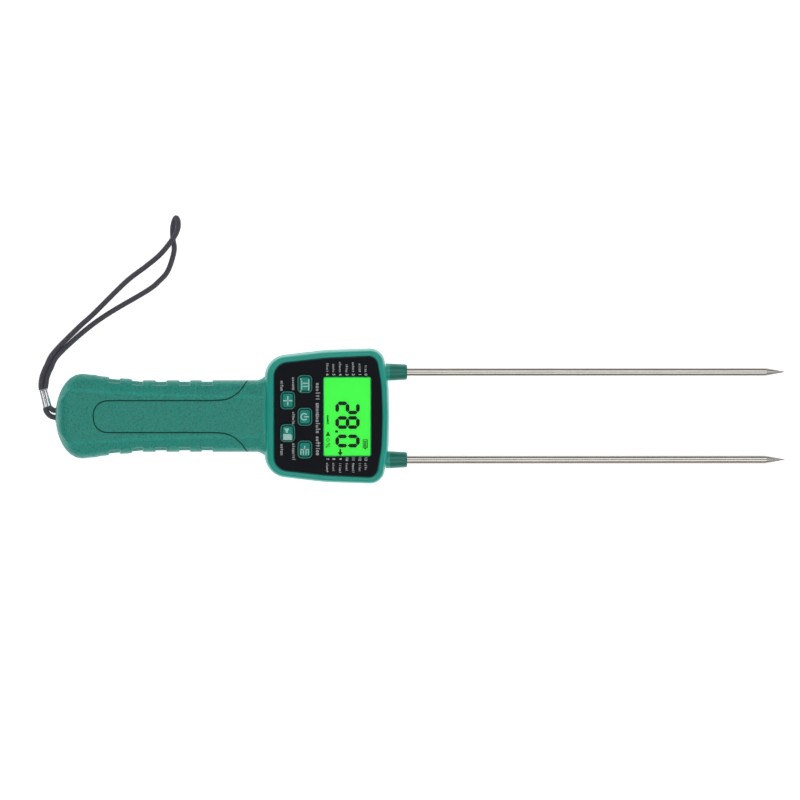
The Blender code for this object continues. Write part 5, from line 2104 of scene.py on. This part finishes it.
@dataclass(frozen=True)
class StrapForm:
    """The wrist strap's cord and the ferrule that crimps its two strands.

    Attributes:
        radius: Radius of the cord.
        crimped: Share of that radius inside the ferrule.
        ferrule: Middle of the ferrule's two ends.
        shift: Distance of each strand from the ferrule's middle line.
        route: Points of the cord's middle line, from the pin out and back.
        leaves: Where the cord comes out of the handle.
        pin: Middle of the pin that the cord runs round.
        knot: Middle of the knot.
        knot_size: Half of the knot's length, and its radius.
    """

    radius: float = 1.5
    crimped: float = 0.66
    ferrule: tuple[Point, Point] = ((-239.25, 5.85, 6.5), (-241.75, 15.85, 3.1))
    shift: float = 1.175
    route: tuple[Point, ...] = (
        (-224.3, -2.6, 9.0), (-233.7, -1.2, 8.9), (-237.6, 0.2, 8.4), (-239.9, 3.0, 7.4),
        (-240.4, 5.6, 6.5), (-241.65, 10.6, 4.8), (-242.9, 15.6, 3.1), (-243.3, 20.5, 2.1),
        (-242.3, 26.0, 1.6), (-239.8, 31.8, 1.5), (-235.0, 40.4, 1.5), (-219.4, 56.3, 1.5),
        (-209.7, 65.1, 1.5), (-188.9, 85.6, 1.5), (-175.7, 95.8, 1.6), (-166.5, 103.6, 2.6),
        (-158.9, 113.0, 4.9), (-155.7, 119.0, 7.0), (-155.2, 124.0, 6.6), (-156.5, 126.8, 4.3),
        (-158.1, 124.2, 2.0), (-158.9, 119.0, 1.5), (-158.6, 113.0, 1.5), (-157.9, 105.5, 1.5),
        (-161.8, 93.0, 1.5), (-167.9, 85.8, 1.5), (-175.5, 79.8, 1.5), (-200.4, 65.1, 1.5),
        (-216.5, 53.3, 1.5), (-232.4, 38.6, 1.5), (-237.0, 30.3, 1.5), (-239.3, 24.9, 1.7),
        (-240.1, 20.2, 2.2), (-240.6, 16.1, 3.1), (-239.35, 11.1, 4.8), (-238.1, 6.1, 6.5),
        (-236.3, 4.2, 7.9), (-233.7, 3.4, 8.9), (-224.3, 3.8, 9.0))
    leaves: Point = (-233.7, -1.2, 8.9)
    pin: Point = (-226.3, 0.65)
    knot: Point = (-219.4, 0.6, 9.0)
    knot_size: Point = (4.5, 4.4)


class WristStrap(Assembly):
    """The braided cord, its ferrule, and the pin and knot that hold it."""

    STRANDS = 8
    BRAID_PITCH = 5.4
    SIDES = 20
    SPACING = 0.42

    def __init__(self, paints: Paints, nodes: dict[str, Piece]) -> None:
        """Adds the strap's own form."""
        super().__init__(paints, nodes)
        self.strap = StrapForm()

    def build(self) -> None:
        """Makes the ferrule, the cord, the pin and the knot."""
        ferrule = self._ferrule()
        self._cord(ferrule)
        pin = Shape().turned_z(self.strap.pin, [(1.0, 2.5), (1.2, 2.7), (1.2, 15.3),
                                                (1.0, 15.5)], 32)
        self.add(pin, "pin", "ground_steel", "ground_steel", "strap_pin")
        self._knot()

    def _braid(self, distance: float, angle: float) -> float:
        """Height of the braid on the cord's surface, from -1 to 1."""
        along = 2 * math.pi * distance / self.BRAID_PITCH
        half = self.STRANDS / 2
        one, two = math.cos(half * (angle - along)), math.cos(half * (angle + along))
        weave = math.cos(half * angle) * math.cos(half * along)
        return 0.5 * max(one, two) + 0.5 * weave

    def _cord(self, ferrule: Piece) -> None:
        """The cord as a braided tube along its route."""
        strap = self.strap
        lowest = strap.radius + 0.3
        route = [(x, y, max(z, lowest)) for x, y, z in strap.route]
        path = self._even(smooth_curve(route, 0.5))
        low, high = (Vector(end) for end in strap.ferrule)
        ahead = (high - low).normalized()
        length = (high - low).length
        shares = []
        for point in path:
            reach = (point - low).dot(ahead)
            aside = (point - low - ahead * reach).length
            inside = (ease(reach, -0.9, 0.3) * (1 - ease(reach, length - 0.3, length + 0.9))
                      if aside < 3.0 else 0.0)
            shares.append(1 + (strap.crimped - 1) * inside)

        def radius(i: int, angle: float) -> float:
            """Radius of the braided tube."""
            relief = 0.07 * self._braid(i * self.SPACING, angle)
            return shares[i] * (strap.radius * (1 + relief) + 0.17)

        shape = Shape().tube(path, radius, self.SIDES)
        cord = self.add(shape, "strap_cord_braid", "braid", "strap_cord", "wrist_cord", smooth=75)

    def _even(self, samples: Sequence[Vector]) -> list[Vector]:
        """Points at even distances along a line of samples."""
        points, carried = [samples[0]], 0.0
        for a, b in zip(samples, samples[1:]):
            step = (b - a).length
            while carried + step >= self.SPACING:
                share = (self.SPACING - carried) / step
                a = a.lerp(b, share)
                points.append(a)
                step = (b - a).length
                carried = 0.0
            carried += step
        return points

    def _lobes(self, lobe: float, steps: int = 22) -> Ring:
        """The ferrule's section: two circles side by side, joined where they meet."""
        shift = self.strap.shift
        waist = math.acos(shift / lobe)
        points = []
        for side in (1, -1):
            for k in range(steps):
                angle = (waist - math.pi) + (2 * math.pi - 2 * waist) * (k + 0.5) / steps
                points.append((side * (shift + lobe * math.cos(angle)),
                               side * lobe * math.sin(angle)))
        return points

    def _ferrule(self) -> Piece:
        """The bright crimp: flared mouths, a pressed waist and a thin wall."""
        low, high = (Vector(end) for end in self.strap.ferrule)
        ahead = (high - low).normalized()
        across = ahead.cross(Vector((0, 0, 1))).normalized()
        upright = across.cross(ahead)
        outer = ((1.66, -0.06), (1.76, -0.045), (1.8, 0.02), (1.78, 0.3), (1.76, 0.5),
                 (1.78, 0.7), (1.8, 0.98), (1.76, 1.045), (1.66, 1.06))
        inner = ((1.5, 1.06), (1.3, 1.0), (1.3, 0.0), (1.5, -0.06))
        rings = []
        for lobe, share in outer + inner:
            centre = low.lerp(high, share)
            rings.append([tuple(centre + across * a + upright * b) for a, b in self._lobes(lobe)])
        return self.add(Shape().loft(rings, True), "ferrule_crimp", "crimped_metal",
                        "ferrule_metal", "cord_ferrule", smooth=50)

    def _knot(self) -> None:
        """The knot behind the pin, with the turns of the cord in relief."""
        middle_x, middle_y, middle_z = self.strap.knot
        half_length, bulge = self.strap.knot_size
        strands, relief, steps, sides = 3, 0.07, 32, 48
        rings = []
        for k in range(steps + 1):
            share = k / steps
            radius = bulge * math.sin(math.pi * share) + 0.2
            x = middle_x + half_length * math.cos(math.pi * share)
            ring = []
            for i in range(sides):
                angle = 2 * math.pi * i / sides
                swell = 1 - relief * (1 + math.cos(strands * angle + 4 * math.pi * share))
                ring.append((x, middle_y + radius * swell * math.cos(angle),
                             middle_z + radius * swell * math.sin(angle)))
            rings.append(ring)
        self.add(Shape().loft(rings), "knot", "braid", "strap_cord", "cord_knot", smooth=75)


class Meter:
    """The whole scene."""

    ASSEMBLIES: tuple[type[Assembly], ...] = (Shells, FacePanel, Display, Keypad, Probes,
                                             BatteryBay, Electronics, Fasteners, WristStrap)

    def build(self) -> None:
        """Loads the frame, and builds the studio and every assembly."""
        for thing in list(bpy.data.objects):
            bpy.data.objects.remove(thing, do_unlink=True)
        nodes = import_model()["nodes"]
        cad_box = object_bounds()
        Studio().build()
        paints = Paints()
        for kind in self.ASSEMBLIES:
            kind(paints, nodes).build()
            LOG.info("%s is done", kind.__name__)
        self._write_size(cad_box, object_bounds())

    @staticmethod
    def _write_size(cad_box: Sequence[Vector], visual_box: Sequence[Vector]) -> None:
        """Takes both boxes of the object, in metres, and does nothing with them.

        Args:
            cad_box: Lowest and highest corner of the CAD frame; not used.
            visual_box: Lowest and highest corner of what is shown; not used.
        """


def main() -> None:
    """Builds the scene."""
    logging.basicConfig(level=logging.INFO, format="%(relativeCreated)6d %(message)s")
    Meter().build()


if __name__ == "__main__":
    main()
